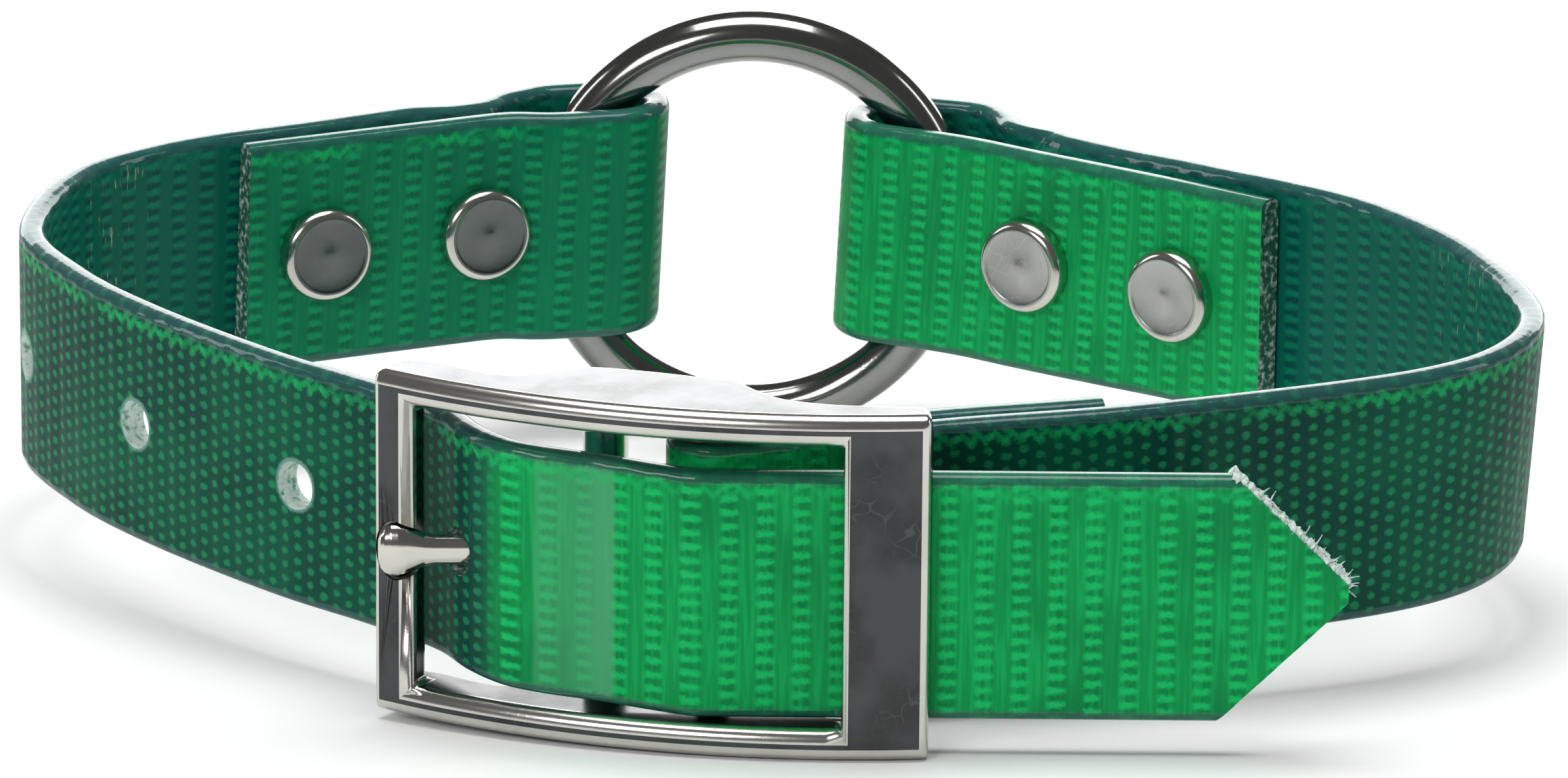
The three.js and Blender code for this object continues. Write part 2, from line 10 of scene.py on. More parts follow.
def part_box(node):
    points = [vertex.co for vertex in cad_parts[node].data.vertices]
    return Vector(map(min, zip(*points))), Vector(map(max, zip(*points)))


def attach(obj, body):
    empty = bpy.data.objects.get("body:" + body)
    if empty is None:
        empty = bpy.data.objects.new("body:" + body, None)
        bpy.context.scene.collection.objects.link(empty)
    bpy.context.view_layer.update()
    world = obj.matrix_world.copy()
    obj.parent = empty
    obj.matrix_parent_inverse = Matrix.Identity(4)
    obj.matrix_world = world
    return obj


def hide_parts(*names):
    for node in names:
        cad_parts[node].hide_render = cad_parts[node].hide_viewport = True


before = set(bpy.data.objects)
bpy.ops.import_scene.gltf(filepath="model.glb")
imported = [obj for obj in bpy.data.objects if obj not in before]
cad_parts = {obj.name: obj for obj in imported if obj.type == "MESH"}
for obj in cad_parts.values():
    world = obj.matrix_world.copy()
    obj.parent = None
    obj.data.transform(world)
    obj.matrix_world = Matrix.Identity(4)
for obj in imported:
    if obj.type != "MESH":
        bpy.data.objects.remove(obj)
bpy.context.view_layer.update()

MM = 0.001

# Straps, in millimetres on the collar's own plan: +Y back, z = 0 on the straps' lower edge.
STRAP_WIDTH = 19.05
STRAP_THICKNESS = 2.2
GAP = 0.3
LOOP_HALF_WIDTH = 61.3
LOOP_DEPTH = 96.2
FREE_END_LENGTH = 32.1
POINT_LENGTH = 9.0
POINT_TIP_WIDTH = 1.4
HOLE_RADIUS = 1.95
HOLE_PITCH = 20.1
TONGUE_HOLE_PULL = 0.1
HOLE_COUNT = 4
FREE_END_DROP = 1.4
FREE_END_DROP_RUN = 22.0
SHORT_STRAP_DROP = 0.8
SIDE_LEAN = 1.3
BACK_LEAN = 0.9
RIGHT_SAG = 0.25
RIGHT_FLARE = 3.0
LEFT_FLARE = 1.2
RIGHT_RISE = 0.6
LEFT_RISE = 0.4
SPREAD_UP = 0.45
LONG_DOWN = 0.35
SHORT_DOWN = 0.15
POINT_RISE = 0.7
SELVAGE_RADIUS = 0.85
LONG_FOLD_PULL = 4.0
SHORT_FOLD_PULL = 5.0
HEEL_STRAIGHT = 0.5

# O-ring
WIRE_RADIUS = 2.2
RING_RADIUS = 16.55
RING_OFFSET_X = -2.9
RING_SAG = 1.0
RING_CLEARANCE = 0.6
LEFT_FOLD_ANGLE = math.radians(13)
RIGHT_FOLD_ANGLE = math.radians(24)

# Buckle
FRONT_RADIUS = 64.0
BUCKLE_CENTRE_X = 4.5
KEEPER_THICKNESS = 2.1
BUCKLE_LEFT = math.radians(-34.4)
BUCKLE_RIGHT = math.radians(6.1)
BUCKLE_HEIGHT = 27.8
WINDOW_HEIGHT = 22.8
PLATE_DEPTH = 9.9
REST_BAR_WIDTH = 3.4
REST_BAR_THICKNESS = 2.5
KEEPER_BAR_WIDTH = 6.7
BAR_CLEARANCE = 1.75
STRAP_RISE_AT_POST = 1.9
CURL_CLEARANCE = 0.95
POST_RADIUS = 1.75
HEEL_BAR_RADIUS = 1.3
POST_X = -13.7
HEEL_BAR_X = -5.3
FLAT_BEFORE_HEEL = 1.3

# Tongue
TONGUE_WIDTH = 2.4
TONGUE_THICKNESS = 1.5
CURL_THICKNESS = 1.3
CURL_HEIGHT = 5.0
TIP_RADIUS = 2.05
TIP_THICKNESS = 1.25
TIP_LENGTH = 1.6
TIP_FROM_END = 2.1
TIP_SUNK = 0.45
TIP_CLEARANCE = 0.42
TONGUE_DROP = 0.4

# Rivets
CAP_RADIUS = 4.0
BACK_CAP_RADIUS = 3.2
CAP_THICKNESS = 1.3
SHANK_RADIUS = 1.6
CAP_ROUNDING = 0.8
RIM_FROM = 0.82
RIVET_PITCH = 14.5
LEFT_END_MARGIN = 6.9
RIGHT_END_MARGIN = 8.9
BUCKLE_END_MARGIN = 7.2

MID_HEIGHT = STRAP_WIDTH / 2
HALF_THICKNESS = STRAP_THICKNESS / 2
LAYER_PITCH = STRAP_THICKNESS + GAP
BUCKLE_CENTRE_Y = FRONT_RADIUS - HALF_THICKNESS - GAP - KEEPER_THICKNESS
TONGUE_Z = MID_HEIGHT - TONGUE_DROP
POINT_MIDDLE = MID_HEIGHT - FREE_END_DROP + POINT_RISE
BUCKLE_SWEEP = BUCKLE_RIGHT - BUCKLE_LEFT
ARC_LENGTH = FRONT_RADIUS * BUCKLE_SWEEP
BUCKLE_BOTTOM = MID_HEIGHT - BUCKLE_HEIGHT / 2
BUCKLE_TOP = MID_HEIGHT + BUCKLE_HEIGHT / 2
WINDOW_BOTTOM = MID_HEIGHT - WINDOW_HEIGHT / 2
WINDOW_TOP = MID_HEIGHT + WINDOW_HEIGHT / 2

# Weave of the webbing under its clear coating, in millimetres
COLUMN_PITCH = 2.8
ROW_PITCH = 1.09
RIB_HEIGHT = 0.07
PATH_STEP = 0.35
BACK_FACE = 100.0
DOTS_PAST_TONGUE = 3.7
DOTS_FADE = 1.3
# Plan X where the painted reflection band in the buckle's window begins and ends
REFLECTION_FROM_X = -19.2
REFLECTION_TO_X = -13.0
FACE_GLOSS = 0.09
EDGE_GLOSS = 0.55
LONG_SCUFF = (31.0, 39.0)
SHORT_SCUFF = (43.0, 53.0)

# Facets
FACE_STEPS = 16
SELVAGE_STEPS = 5
ROUND_SIDES = 40
RING_STEPS = 160
RIVET_STEPS = 64
CURL_STEPS = 48


def table(columns, *rows):
    return [dict(zip(columns.split(), row)) for row in rows]


# Shares of the loop's half width and depth, one row for each station of a strap's middle.
LONG_STATIONS = table(
    "out back",
    (-0.440, 0.965),
    (-0.636, 0.908),
    (-0.785, 0.862),
    (-0.871, 0.820),
    (-0.953, 0.753),
    (-1.000, 0.599),
    (-0.928, 0.479),
    (-0.832, 0.385),
    (-0.646, 0.248),
    (-0.512, 0.169),
)
SHORT_STATIONS = table(
    "out back",
    (0.363, 0.911),
    (0.573, 0.825),
    (0.749, 0.727),
    (0.834, 0.654),
    (0.914, 0.553),
    (0.961, 0.396),
    (0.914, 0.300),
    (0.814, 0.234),
    (0.460, 0.135),
    (0.207, 0.090),
    (0.078, 0.060),
)
WINDOW_BEND = table(
    "along rise",
    (0.20, 0.49),
    (0.40, 0.19),
    (0.61, 0.08),
)
# Relief of a rivet's cap, from its rim to its middle: share of the cap's radius, and depth in millimetres
CAP_RELIEF = table(
    "out down",
    (0.79, 0.01),
    (0.77, 0.06),
    (0.74, 0.10),
    (0.18, 0.12),
    (0.12, 0.06),
    (0.00, 0.04),
)
# The tongue's end, from the shank to its blunt tip: distances and half sizes in millimetres
BULB = table(
    "from_tip tall thick",
    (2.9, 1.20, 0.75),
    (2.0, 1.35, 0.82),
    (1.2, 1.75, 1.02),
    (0.5, 2.10, 1.20),
    (0.0, 2.20, 1.25),
    (-0.6, 2.15, 1.20),
    (-1.1, 1.90, 1.05),
    (-1.4, 1.50, 0.85),
    (-1.6, 0.90, 0.50),
)
# Roundings of the buckle's edges in millimetres
ROUNDING = {
    "back": 0.5,
    "rail": 1.05,
    "rest_bar_inner": 1.0,
    "keeper_inner": 0.5,
    "keeper_outer": 0.7,
}
WIDEST_ROUNDING = max(ROUNDING.values())
PLATE_SECTIONS = table(
    "along depth",
    (0.000, 0.40),
    (0.076, 0.48),
    (0.189, 0.45),
    (0.241, 0.54),
    (0.301, 0.83),
    (0.346, 0.94),
    (0.451, 0.98),
    (0.557, 0.95),
    (0.642, 0.89),
    (0.688, 0.70),
    (0.743, 0.50),
    (0.831, 0.39),
    (0.891, 0.36),
    (1.000, 0.29),
)

# The collar rests tipped on its buckle and ring, so its own plan is tipped and shifted into the frame.
REST_RUN = LOOP_DEPTH - (BUCKLE_CENTRE_Y - FRONT_RADIUS)
RING_Z = MID_HEIGHT - RING_SAG
REST_RISE = RING_Z - RING_RADIUS - BUCKLE_BOTTOM
TIP = math.asin(WIRE_RADIUS / math.hypot(REST_RUN, REST_RISE)) - math.atan2(REST_RISE, REST_RUN)
TURN = Matrix.Rotation(TIP, 4, "X")


def frame_shift():
    low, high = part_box("o_ring")
    ring_centre = (low + high) / 2
    return ring_centre - (TURN @ Vector((RING_OFFSET_X, LOOP_DEPTH, RING_Z))) * MM


TO_FRAME = Matrix.Translation(frame_shift()) @ TURN @ Matrix.Scale(MM, 4)


# Curves in the plan
def spline_through(points, step):
    """Centripetal Catmull-Rom curve with its end points repeated outward, sampled at an even step."""
    ends = [points[0] * 2 - points[1]] + points + [points[-1] * 2 - points[-2]]
    fine = []
    for i in range(1, len(ends) - 2):
        p0, p1, p2, p3 = ends[i - 1:i + 3]
        d1 = math.sqrt((p1 - p0).length)
        d2 = math.sqrt((p2 - p1).length)
        d3 = math.sqrt((p3 - p2).length)
        t1 = (p1 - p0) / d1 - (p2 - p0) / (d1 + d2) + (p2 - p1) / d2
        t2 = (p2 - p1) / d2 - (p3 - p1) / (d2 + d3) + (p3 - p2) / d3
        m1, m2 = t1 * d2, t2 * d2
        for k in range(40):
            t = k / 40
            h = (2 * t**3 - 3 * t**2 + 1, t**3 - 2 * t**2 + t, -2 * t**3 + 3 * t**2, t**3 - t**2)
            fine.append(p1 * h[0] + m1 * h[1] + p2 * h[2] + m2 * h[3])
    fine.append(points[-1].copy())
    return even(fine, step)


def run_of(points):
    runs = [0.0]
    for a, b in zip(points, points[1:]):
        runs.append(runs[-1] + (b - a).length)
    return runs


def point_along(points, distance):
    left = distance
    for a, b in zip(points, points[1:]):
        length = (b - a).length
        if left <= length and length > 0:
            direction = (b - a).normalized()
            return a + direction * left, direction
        left -= length
    direction = (points[-1] - points[-2]).normalized()
    return points[-1] + direction * left, direction


def even(points, step):
    runs = run_of(points)
    count = max(2, round(runs[-1] / step))
    result, j = [], 0
    for i in range(count + 1):
        target = runs[-1] * i / count
        while j < len(runs) - 2 and runs[j + 1] < target:
            j += 1
        share = (target - runs[j]) / max(runs[j + 1] - runs[j], 1e-9)
        result.append(points[j].lerp(points[j + 1], min(1.0, share)))
    return result


def directions_of(points):
    last = len(points) - 1
    return [(points[min(last, i + 1)] - points[max(0, i - 1)]).normalized() for i in range(last + 1)]


def inward_of(direction, side):
    return Vector((-direction.y * side, direction.x * side))


def offset_path(points, distance):
    return [p + inward_of(d, 1) * distance for p, d in zip(points, directions_of(points))]


def bridge(start, start_direction, end, end_direction, pull):
    knots = [start, start + start_direction * pull, end - end_direction * pull, end]
    flat = interpolate_bezier(*[v.to_3d() for v in knots], 24)
    return [v.to_2d() for v in flat][1:-1]


def smooth(value, low, high):
    t = min(1.0, max(0.0, (value - low) / (high - low)))
    return t * t * (3 - 2 * t)


def round_held(centre, radius, away, inward, target):
    """The outer layer bends over what the fold holds, on an arc that points it at the main run."""
    to_target = target - centre
    along = math.atan2(to_target.dot(inward), to_target.dot(away))
    sweep = along + math.asin(radius / to_target.length)
    points = []
    for i in range(13):
        angle = sweep * i / 12
        points.append(centre + away * (radius * math.sin(angle)) - inward * (radius * math.cos(angle)))
    return points


def fold_path(pocket, main, pull, end_margin):
    """Strap comes in on its outer layer, turns round a bar or wire, and lies back inside."""
    away, side = pocket["away"], pocket["side"]
    radius, pivot = pocket["turn_radius"], pocket["pivot"]
    inward = inward_of(away, side)
    turn = []
    for i in range(33):
        angle = math.pi * i / 32
        turn.append(pivot + inward * (radius * math.cos(angle)) - away * (radius * math.sin(angle)))
    inside_start = turn[0] + away * pocket["straight"]
    outside = round_held(pocket["held"], pocket["held_radius"], away, inward, main[0])
    leaving = (outside[-1] - outside[-2]).normalized()
    heading = (main[1] - main[0]).normalized()
    inner = offset_path(main, side * LAYER_PITCH)
    runs = run_of(inner)
    lying = [p for p, r in zip(inner, runs) if r < RIVET_PITCH + end_margin]
    lying.append(point_along(inner, RIVET_PITCH + end_margin)[0])
    inner_join = bridge(inner[0], -heading, inside_start, -away, pull)
    outer_join = bridge(outside[-1], leaving, main[0], heading, pull)
    return lying[::-1] + inner_join + [inside_start] + turn + outside + outer_join


# Ring folds: the pocket holds the wire at every height of the strap.
RING_PLACE = Vector((RING_OFFSET_X, LOOP_DEPTH))
FARTHEST = MID_HEIGHT + RING_SAG
WIRE_NEAR = math.sqrt(RING_RADIUS**2 - FARTHEST**2)
WIRE_REACH = math.sqrt((RING_RADIUS - WIRE_RADIUS)**2 - FARTHEST**2)


def ring_pocket(angle, side):
    lean_room = BACK_LEAN / 2 if side < 0 else 0.0
    away = Vector((-side * math.cos(angle), -math.sin(angle)))
    outward = -inward_of(away, side)
    slant = math.sin(angle)
    middle = (RING_RADIUS + WIRE_NEAR) / 2 * slant
    half_room = (RING_RADIUS - WIRE_NEAR) / 2 * slant + WIRE_RADIUS + RING_CLEARANCE
    turn_centre = WIRE_REACH * math.cos(angle) - GAP - lean_room + half_room
    return {
        "pivot": RING_PLACE + away * turn_centre + outward * middle,
        "away": away,
        "side": side,
        "turn_radius": half_room + HALF_THICKNESS,
        "straight": RING_RADIUS * math.cos(angle) - turn_centre,
        "held": RING_PLACE + Vector((-side * RING_RADIUS, 0)),
        "held_radius": WIRE_RADIUS + RING_CLEARANCE + lean_room + HALF_THICKNESS,
    }


def to_plan(row):
    return Vector((row["out"] * LOOP_HALF_WIDTH, row["back"] * LOOP_DEPTH))


def on_arc(share, radius):
    angle = BUCKLE_LEFT + share * BUCKLE_SWEEP
    return Vector((BUCKLE_CENTRE_X + radius * math.sin(angle), BUCKLE_CENTRE_Y - radius * math.cos(angle)))


KEEPER_X = on_arc(1, FRONT_RADIUS).x
FREE_END_X = KEEPER_X + FREE_END_LENGTH
BEHIND_REST_BAR = on_arc(
    REST_BAR_WIDTH / ARC_LENGTH, FRONT_RADIUS - REST_BAR_THICKNESS - BAR_CLEARANCE - HALF_THICKNESS)

FRONT_OF_POST = Vector((POST_X, STRAP_RISE_AT_POST))


def bend_point(row):
    x = BEHIND_REST_BAR.x + (FRONT_OF_POST.x - BEHIND_REST_BAR.x) * row["along"]
    y = FRONT_OF_POST.y + (BEHIND_REST_BAR.y - FRONT_OF_POST.y) * row["rise"]
    return Vector((x, y))


long_stations = [to_plan(row) for row in LONG_STATIONS] + [BEHIND_REST_BAR]
long_stations += [bend_point(row) for row in WINDOW_BEND]
long_stations += [FRONT_OF_POST, Vector((HEEL_BAR_X - FLAT_BEFORE_HEEL, 0.0))]
long_main = spline_through(long_stations, PATH_STEP)
short_main = spline_through([to_plan(r) for r in SHORT_STATIONS], PATH_STEP)
short_from_heel = short_main[::-1]

long_fold = fold_path(ring_pocket(LEFT_FOLD_ANGLE, 1), long_main, LONG_FOLD_PULL, LEFT_END_MARGIN)
short_fold = fold_path(ring_pocket(RIGHT_FOLD_ANGLE, -1), short_main, SHORT_FOLD_PULL, RIGHT_END_MARGIN)

HEEL_TURN_RADIUS = HEEL_BAR_RADIUS + GAP + HALF_THICKNESS
HEEL_PLACE = Vector((HEEL_BAR_X, LAYER_PITCH + HEEL_TURN_RADIUS))
heel_pocket = {
    "pivot": HEEL_PLACE,
    "away": (short_main[-1] - HEEL_PLACE).normalized(),
    "side": 1,
    "turn_radius": HEEL_TURN_RADIUS,
    "straight": HEEL_STRAIGHT,
    "held": HEEL_PLACE,
    "held_radius": HEEL_TURN_RADIUS,
}
heel_fold = fold_path(heel_pocket, short_from_heel, SHORT_FOLD_PULL, BUCKLE_END_MARGIN)

long_path = even(long_fold + long_main + [Vector((FREE_END_X, 0.0))], PATH_STEP)
short_path = even(short_fold + short_main + heel_fold[::-1], PATH_STEP)
LONG_FOLD_RUN = run_of(long_fold + long_main[:1])[-1]
SHORT_FOLD_RUN = run_of(short_fold + short_main[:1])[-1]


# Settling of the straps, in shares of the loop's half width (out) and depth (back), as (from, to)
FRONT_HALF_BACK = 0.5
BACK_LEAN_BACK = (0.75, 0.9)
SIDE_LEAN_OUT = (0.6, 1.0)
SIDE_LEAN_BACK = (0.4, 0.7)
SHORT_DROP_BACK = (0.6, 0.85)
RIGHT_SAG_OUT = (0.2, 0.6)
RIGHT_SAG_END_OUT = (0.62, 0.95)


def across_share(z):
    return z / STRAP_WIDTH - 0.5


def lean_back(p):
    p.x += BACK_LEAN * smooth(p.y / LOOP_DEPTH, *BACK_LEAN_BACK) * across_share(p.z)


def settle_long(p):
    lean_back(p)
    if p.y / LOOP_DEPTH < FRONT_HALF_BACK:
        p.z -= FREE_END_DROP * smooth(p.x, HEEL_BAR_X - FREE_END_DROP_RUN, HEEL_BAR_X)


def settle_short(p):
    lean_back(p)
    out, back = p.x / LOOP_HALF_WIDTH, p.y / LOOP_DEPTH
    p.x += SIDE_LEAN * smooth(out, *SIDE_LEAN_OUT) * (1 - smooth(back, *SIDE_LEAN_BACK)) * across_share(p.z)
    p.z -= SHORT_STRAP_DROP * smooth(back, *SHORT_DROP_BACK)
    if back >= FRONT_HALF_BACK:
        p.z -= RIGHT_SAG * smooth(out, *RIGHT_SAG_OUT) * (1 - smooth(out, *RIGHT_SAG_END_OUT))


# Materials
class Nodes:
    """A short way to write node trees."""

    def __init__(self, name):
        self.material = bpy.data.materials.new(name)
        self.material.use_nodes = True
        self.tree = self.material.node_tree
        self.shader = self.tree.nodes["Principled BSDF"]

    def add(self, kind, **values):
        node = self.tree.nodes.new(kind)
        for key, value in values.items():
            setattr(node, key, value)
        return node

    def link(self, source, target):
        self.tree.links.new(source, target)

    def put(self, value, socket):
        if isinstance(value, tuple):
            socket.default_value = (*value, 1.0)
        elif isinstance(value, (int, float)):
            socket.default_value = value
        else:
            self.link(value, socket)

    def math(self, operation, a, b=0.0):
        node = self.add("ShaderNodeMath", operation=operation)
        self.put(a, node.inputs[0])
        self.put(b, node.inputs[1])
        return node.outputs[0]

    def plus(self, a, b):
        return self.math("ADD", a, b)

    def minus(self, a, b):
        return self.math("SUBTRACT", a, b)

    def times(self, a, b):
        return self.math("MULTIPLY", a, b)

    def inverse(self, value):
        return self.math("SUBTRACT", 1.0, value)

    def step(self, value, low, high):
        node = self.add("ShaderNodeMapRange", interpolation_type="SMOOTHSTEP")
        self.link(value, node.inputs["Value"])
        node.inputs["From Min"].default_value = low
        node.inputs["From Max"].default_value = high
        return node.outputs["Result"]

    def between(self, value, low, high, soft):
        rise = self.step(value, low - soft, low + soft)
        return self.times(rise, self.inverse(self.step(value, high - soft, high + soft)))

    def fract(self, value):
        return self.math("FRACT", value)

    def from_centre(self, value):
        """Distance from the middle of each repeat of a value."""
        return self.math("ABSOLUTE", self.minus(self.fract(value), 0.5))

    def odd(self, value):
        """Half for every other repeat of a value, else nothing."""
        return self.fract(self.times(self.math("FLOOR", value), 0.5))

    def blend(self, factor, a, b):
        node = self.add("ShaderNodeMix", data_type="RGBA")
        self.put(factor, node.inputs["Factor"])
        self.put(a, node.inputs[6])
        self.put(b, node.inputs[7])
        return node.outputs[2]

    def noise(self, vector, scale, detail=2.0):
        node = self.add("ShaderNodeTexNoise")
        node.inputs["Scale"].default_value = scale
        node.inputs["Detail"].default_value = detail
        self.link(vector, node.inputs["Vector"])
        return node.outputs["Fac"]

    def scaled(self, vector, scale):
        node = self.add("ShaderNodeMapping")
        node.inputs["Scale"].default_value = scale
        self.link(vector, node.inputs["Vector"])
        return node.outputs["Vector"]

    def place(self):
        return self.add("ShaderNodeTexCoord").outputs["Object"]

    def vector_noise(self, vector, scale, size):
        """Noise in all three directions, round nought, in metres."""
        node = self.add("ShaderNodeTexNoise")
        node.inputs["Scale"].default_value = scale
        self.link(vector, node.inputs["Vector"])
        shifted = self.add("ShaderNodeVectorMath", operation="SUBTRACT")
        shifted.inputs[1].default_value = (0.5, 0.5, 0.5)
        self.link(node.outputs["Color"], shifted.inputs[0])
        sized = self.add("ShaderNodeVectorMath", operation="SCALE")
        sized.inputs["Scale"].default_value = size
        self.link(shifted.outputs[0], sized.inputs[0])
        return sized.outputs[0]

    def bump(self, height, strength, distance):
        node = self.add("ShaderNodeBump")
        node.inputs["Strength"].default_value = strength
        node.inputs["Distance"].default_value = distance
        self.link(height, node.inputs["Height"])
        return node.outputs["Normal"]


WEAVE_LIGHT = (0.008, 0.57, 0.145)
WEAVE_GREEN = (0.003, 0.31, 0.075)
WEAVE_DARK = (0.002, 0.14, 0.045)
NECK_LIGHT = (0.003, 0.19, 0.11)
NECK_GREEN = (0.002, 0.12, 0.08)
NECK_DARK = (0.001, 0.07, 0.06)
DOTTED_GREEN = (0.002, 0.090, 0.048)
GULLY_DARK = (0.002, 0.048, 0.036)
DOT_GREEN = (0.010, 0.24, 0.100)
# Colour of the painted reflection in the strap's coating
REFLECTION_GREEN = (0.090, 0.42, 0.20)
SELVAGE_SLATE = (0.020, 0.085, 0.085)
RIM_PALE = (0.20, 0.40, 0.34)
CUT_WHITE = (0.62, 0.72, 0.68)
SCUFF_TAN = (0.42, 0.42, 0.33)


def webbing_material(name, gloss, holes, dotted, reflected_run, scuffed, fold_shade):
    """UV is in millimetres: U along the strap, V across it, with BACK_FACE added on the neck's side.
    The runs of the strap that are dotted, painted with a reflection or scuffed are given as (from, to)."""
    n = Nodes(name)
    uv = n.add("ShaderNodeUVMap", uv_map="run").outputs["UV"]
    split = n.add("ShaderNodeSeparateXYZ")
    n.link(uv, split.inputs[0])
    neck_side = n.math("GREATER_THAN", split.outputs["Y"], BACK_FACE / 2)
    u = split.outputs["X"]
    v = n.minus(split.outputs["Y"], n.times(neck_side, BACK_FACE))
    wobble = n.noise(uv, 0.7, 1.0)
    fine = n.noise(uv, 3.2, 3.0)
    fibre = n.noise(n.scaled(uv, (1.0, 3.0, 1.0)), 4.0, 4.0)
    drift = n.times(n.minus(wobble, 0.5), 0.5)
    column = n.math("DIVIDE", n.plus(u, drift), COLUMN_PITCH)
    row_place = n.plus(n.math("DIVIDE", v, ROW_PITCH), n.times(fine, 0.5))
    # Light wedges in every other column of threads, with a smooth band between
    across = n.fract(column)
    height = n.from_centre(n.plus(row_place, n.odd(column)))
    wedge = n.plus(n.times(across, 0.22), n.plus(height, n.times(n.minus(fibre, 0.5), 0.22)))
    dash = n.inverse(n.step(wedge, 0.10, 0.46))
    thread = n.between(n.plus(across, n.times(n.minus(fibre, 0.5), 0.16)), 0.04, 0.52, 0.09)
    wedges = n.times(dash, thread)
    # The outward face is dark, and only the tops of its threads show, as a lattice of dots
    half = n.times(column, 2.0)
    dot_height = n.from_centre(n.plus(row_place, n.odd(half)))
    aside = n.plus(n.from_centre(half), n.times(n.minus(fibre, 0.5), 0.3))
    spread = n.plus(n.math("POWER", aside, 2.0), n.math("POWER", dot_height, 2.0))
    dots = n.inverse(n.step(spread, 0.01, 0.13))
    dotted_here = n.times(n.between(u, *dotted, DOTS_FADE), n.inverse(neck_side))
    light = n.plus(n.times(wedges, n.inverse(dotted_here)), n.times(dots, dotted_here))
    light = n.times(light, n.plus(0.45, n.times(fibre, 0.9)))
    gully = n.times(thread, n.inverse(dash))
    patch = n.noise(uv, 0.10, 1.0)
    stripe = n.noise(n.scaled(uv, (1.0, 0.06, 1.0)), 2.6, 2.0)
    base = n.blend(n.times(gully, 0.45), WEAVE_GREEN, WEAVE_DARK)
    base = n.blend(n.times(n.step(stripe, 0.40, 0.65), 0.35), base, WEAVE_LIGHT)
    shaded = n.times(n.inverse(n.step(u, dotted[1], dotted[1] + 4.0)), n.step(u, dotted[1] - 4.0, dotted[1]))
    base = n.blend(n.times(shaded, 0.5), base, WEAVE_DARK)
    base = n.blend(n.times(n.step(patch, 0.45, 0.7), 0.45), base, WEAVE_DARK)
    base = n.blend(dotted_here, base, n.blend(n.step(patch, 0.3, 0.7), DOTTED_GREEN, GULLY_DARK))
    bright = n.blend(dotted_here, WEAVE_LIGHT, DOT_GREEN)
    base = n.blend(light, base, bright)
    # The neck's side is darker and bluer, and the end that is folded over is darkened towards it by its own
    # share as painted shade, more on the left fold than the right
    folded_over_shade = n.times(n.inverse(n.step(u, dotted[0] - 6.0, dotted[0])), fold_shade)
    neck = n.blend(light, n.blend(gully, NECK_GREEN, NECK_DARK), NECK_LIGHT)
    base = n.blend(n.math("MAXIMUM", neck_side, folded_over_shade), base, neck)
    # Painted reflection: a pale band across the strap in the buckle's window stands in for a bright surface
    # reflected in its clear coating
    reflection_here = n.times(n.between(u, *reflected_run, 0.25), n.inverse(neck_side))
    stronger = n.step(u, reflected_run[1] - 4.0, reflected_run[1] - 1.0)
    base = n.blend(n.times(reflection_here, n.plus(0.42, n.times(stronger, 0.30))), base, REFLECTION_GREEN)
    # Loops of thread run along both borders, and outside them the coating is clear
    from_middle = n.math("ABSOLUTE", n.minus(v, MID_HEIGHT))
    zigzag = n.times(n.from_centre(n.plus(n.times(column, 2.0), n.times(fine, 0.7))), 1.3)
    looped = n.plus(n.plus(from_middle, zigzag), n.times(n.minus(fibre, 0.5), 0.7))
    loops = n.between(looped, MID_HEIGHT - 1.35, MID_HEIGHT - 0.75, 0.25)
    showing = n.times(n.step(n.noise(uv, 0.2, 1.0), 0.30, 0.60), n.step(v, MID_HEIGHT, MID_HEIGHT + 1.0))
    loops = n.times(n.times(loops, showing), 0.45)
    base = n.blend(loops, base, n.blend(neck_side, WEAVE_LIGHT, NECK_LIGHT))
    border = n.step(n.plus(from_middle, n.times(fine, 0.5)), MID_HEIGHT - 0.75, MID_HEIGHT - 0.3)
    base = n.blend(n.times(border, 0.75), base, SELVAGE_SLATE)
    for hole in holes[1:]:
        away = n.math("POWER", n.minus(u, hole["run"]), 2.0)
        up = n.math("POWER", n.minus(v, hole["height"]), 2.0)
        distance = n.plus(n.math("SQRT", n.plus(away, up)), n.times(n.minus(fine, 0.5), 0.4))
        rim = n.inverse(n.step(distance, HOLE_RADIUS, HOLE_RADIUS + 0.35))
        base = n.blend(n.times(rim, 0.75), base, RIM_PALE)
    # Scuffs: fine upright streaks on the neck's side
    streak = n.noise(n.scaled(uv, (1.0, 0.12, 1.0)), 3.5, 3.0)
    broken = n.step(n.noise(uv, 0.5, 2.0), 0.45, 0.6)
    scuffed_here = n.times(n.between(u, *scuffed, 1.5), neck_side)
    scuff = n.times(n.times(n.step(streak, 0.60, 0.68), broken), scuffed_here)
    base = n.blend(n.times(scuff, 0.8), base, SCUFF_TAN)
    n.link(base, n.shader.inputs["Base Color"])
    relief = n.plus(n.times(light, 0.7), n.times(n.times(thread, n.inverse(dotted_here)), 0.3))
    relief = n.plus(relief, n.times(fibre, 0.25))
    n.link(n.bump(relief, 0.5, 0.00015), n.shader.inputs["Normal"])
    n.shader.inputs["Roughness"].default_value = 0.5
    n.shader.inputs["Specular IOR Level"].default_value = 0.05
    n.shader.inputs["Coat Weight"].default_value = gloss
    n.shader.inputs["Coat Roughness"].default_value = 0.09
    smear = n.plus(n.noise(uv, 0.5, 2.0), n.times(relief, 0.12))
    n.link(n.bump(smear, 0.18, 0.00025), n.shader.inputs["Coat Normal"])
    return n.material


def cut_material(name, dark, pale_from, pale_to):
    n = Nodes(name)
    fray = n.noise(n.place(), 1800.0, 5.0)
    base = n.blend(n.step(fray, pale_from, pale_to), dark, CUT_WHITE)
    n.link(base, n.shader.inputs["Base Color"])
    n.link(n.bump(fray, 0.8, 0.0003), n.shader.inputs["Normal"])
    n.shader.inputs["Roughness"].default_value = 0.6
    return n.material


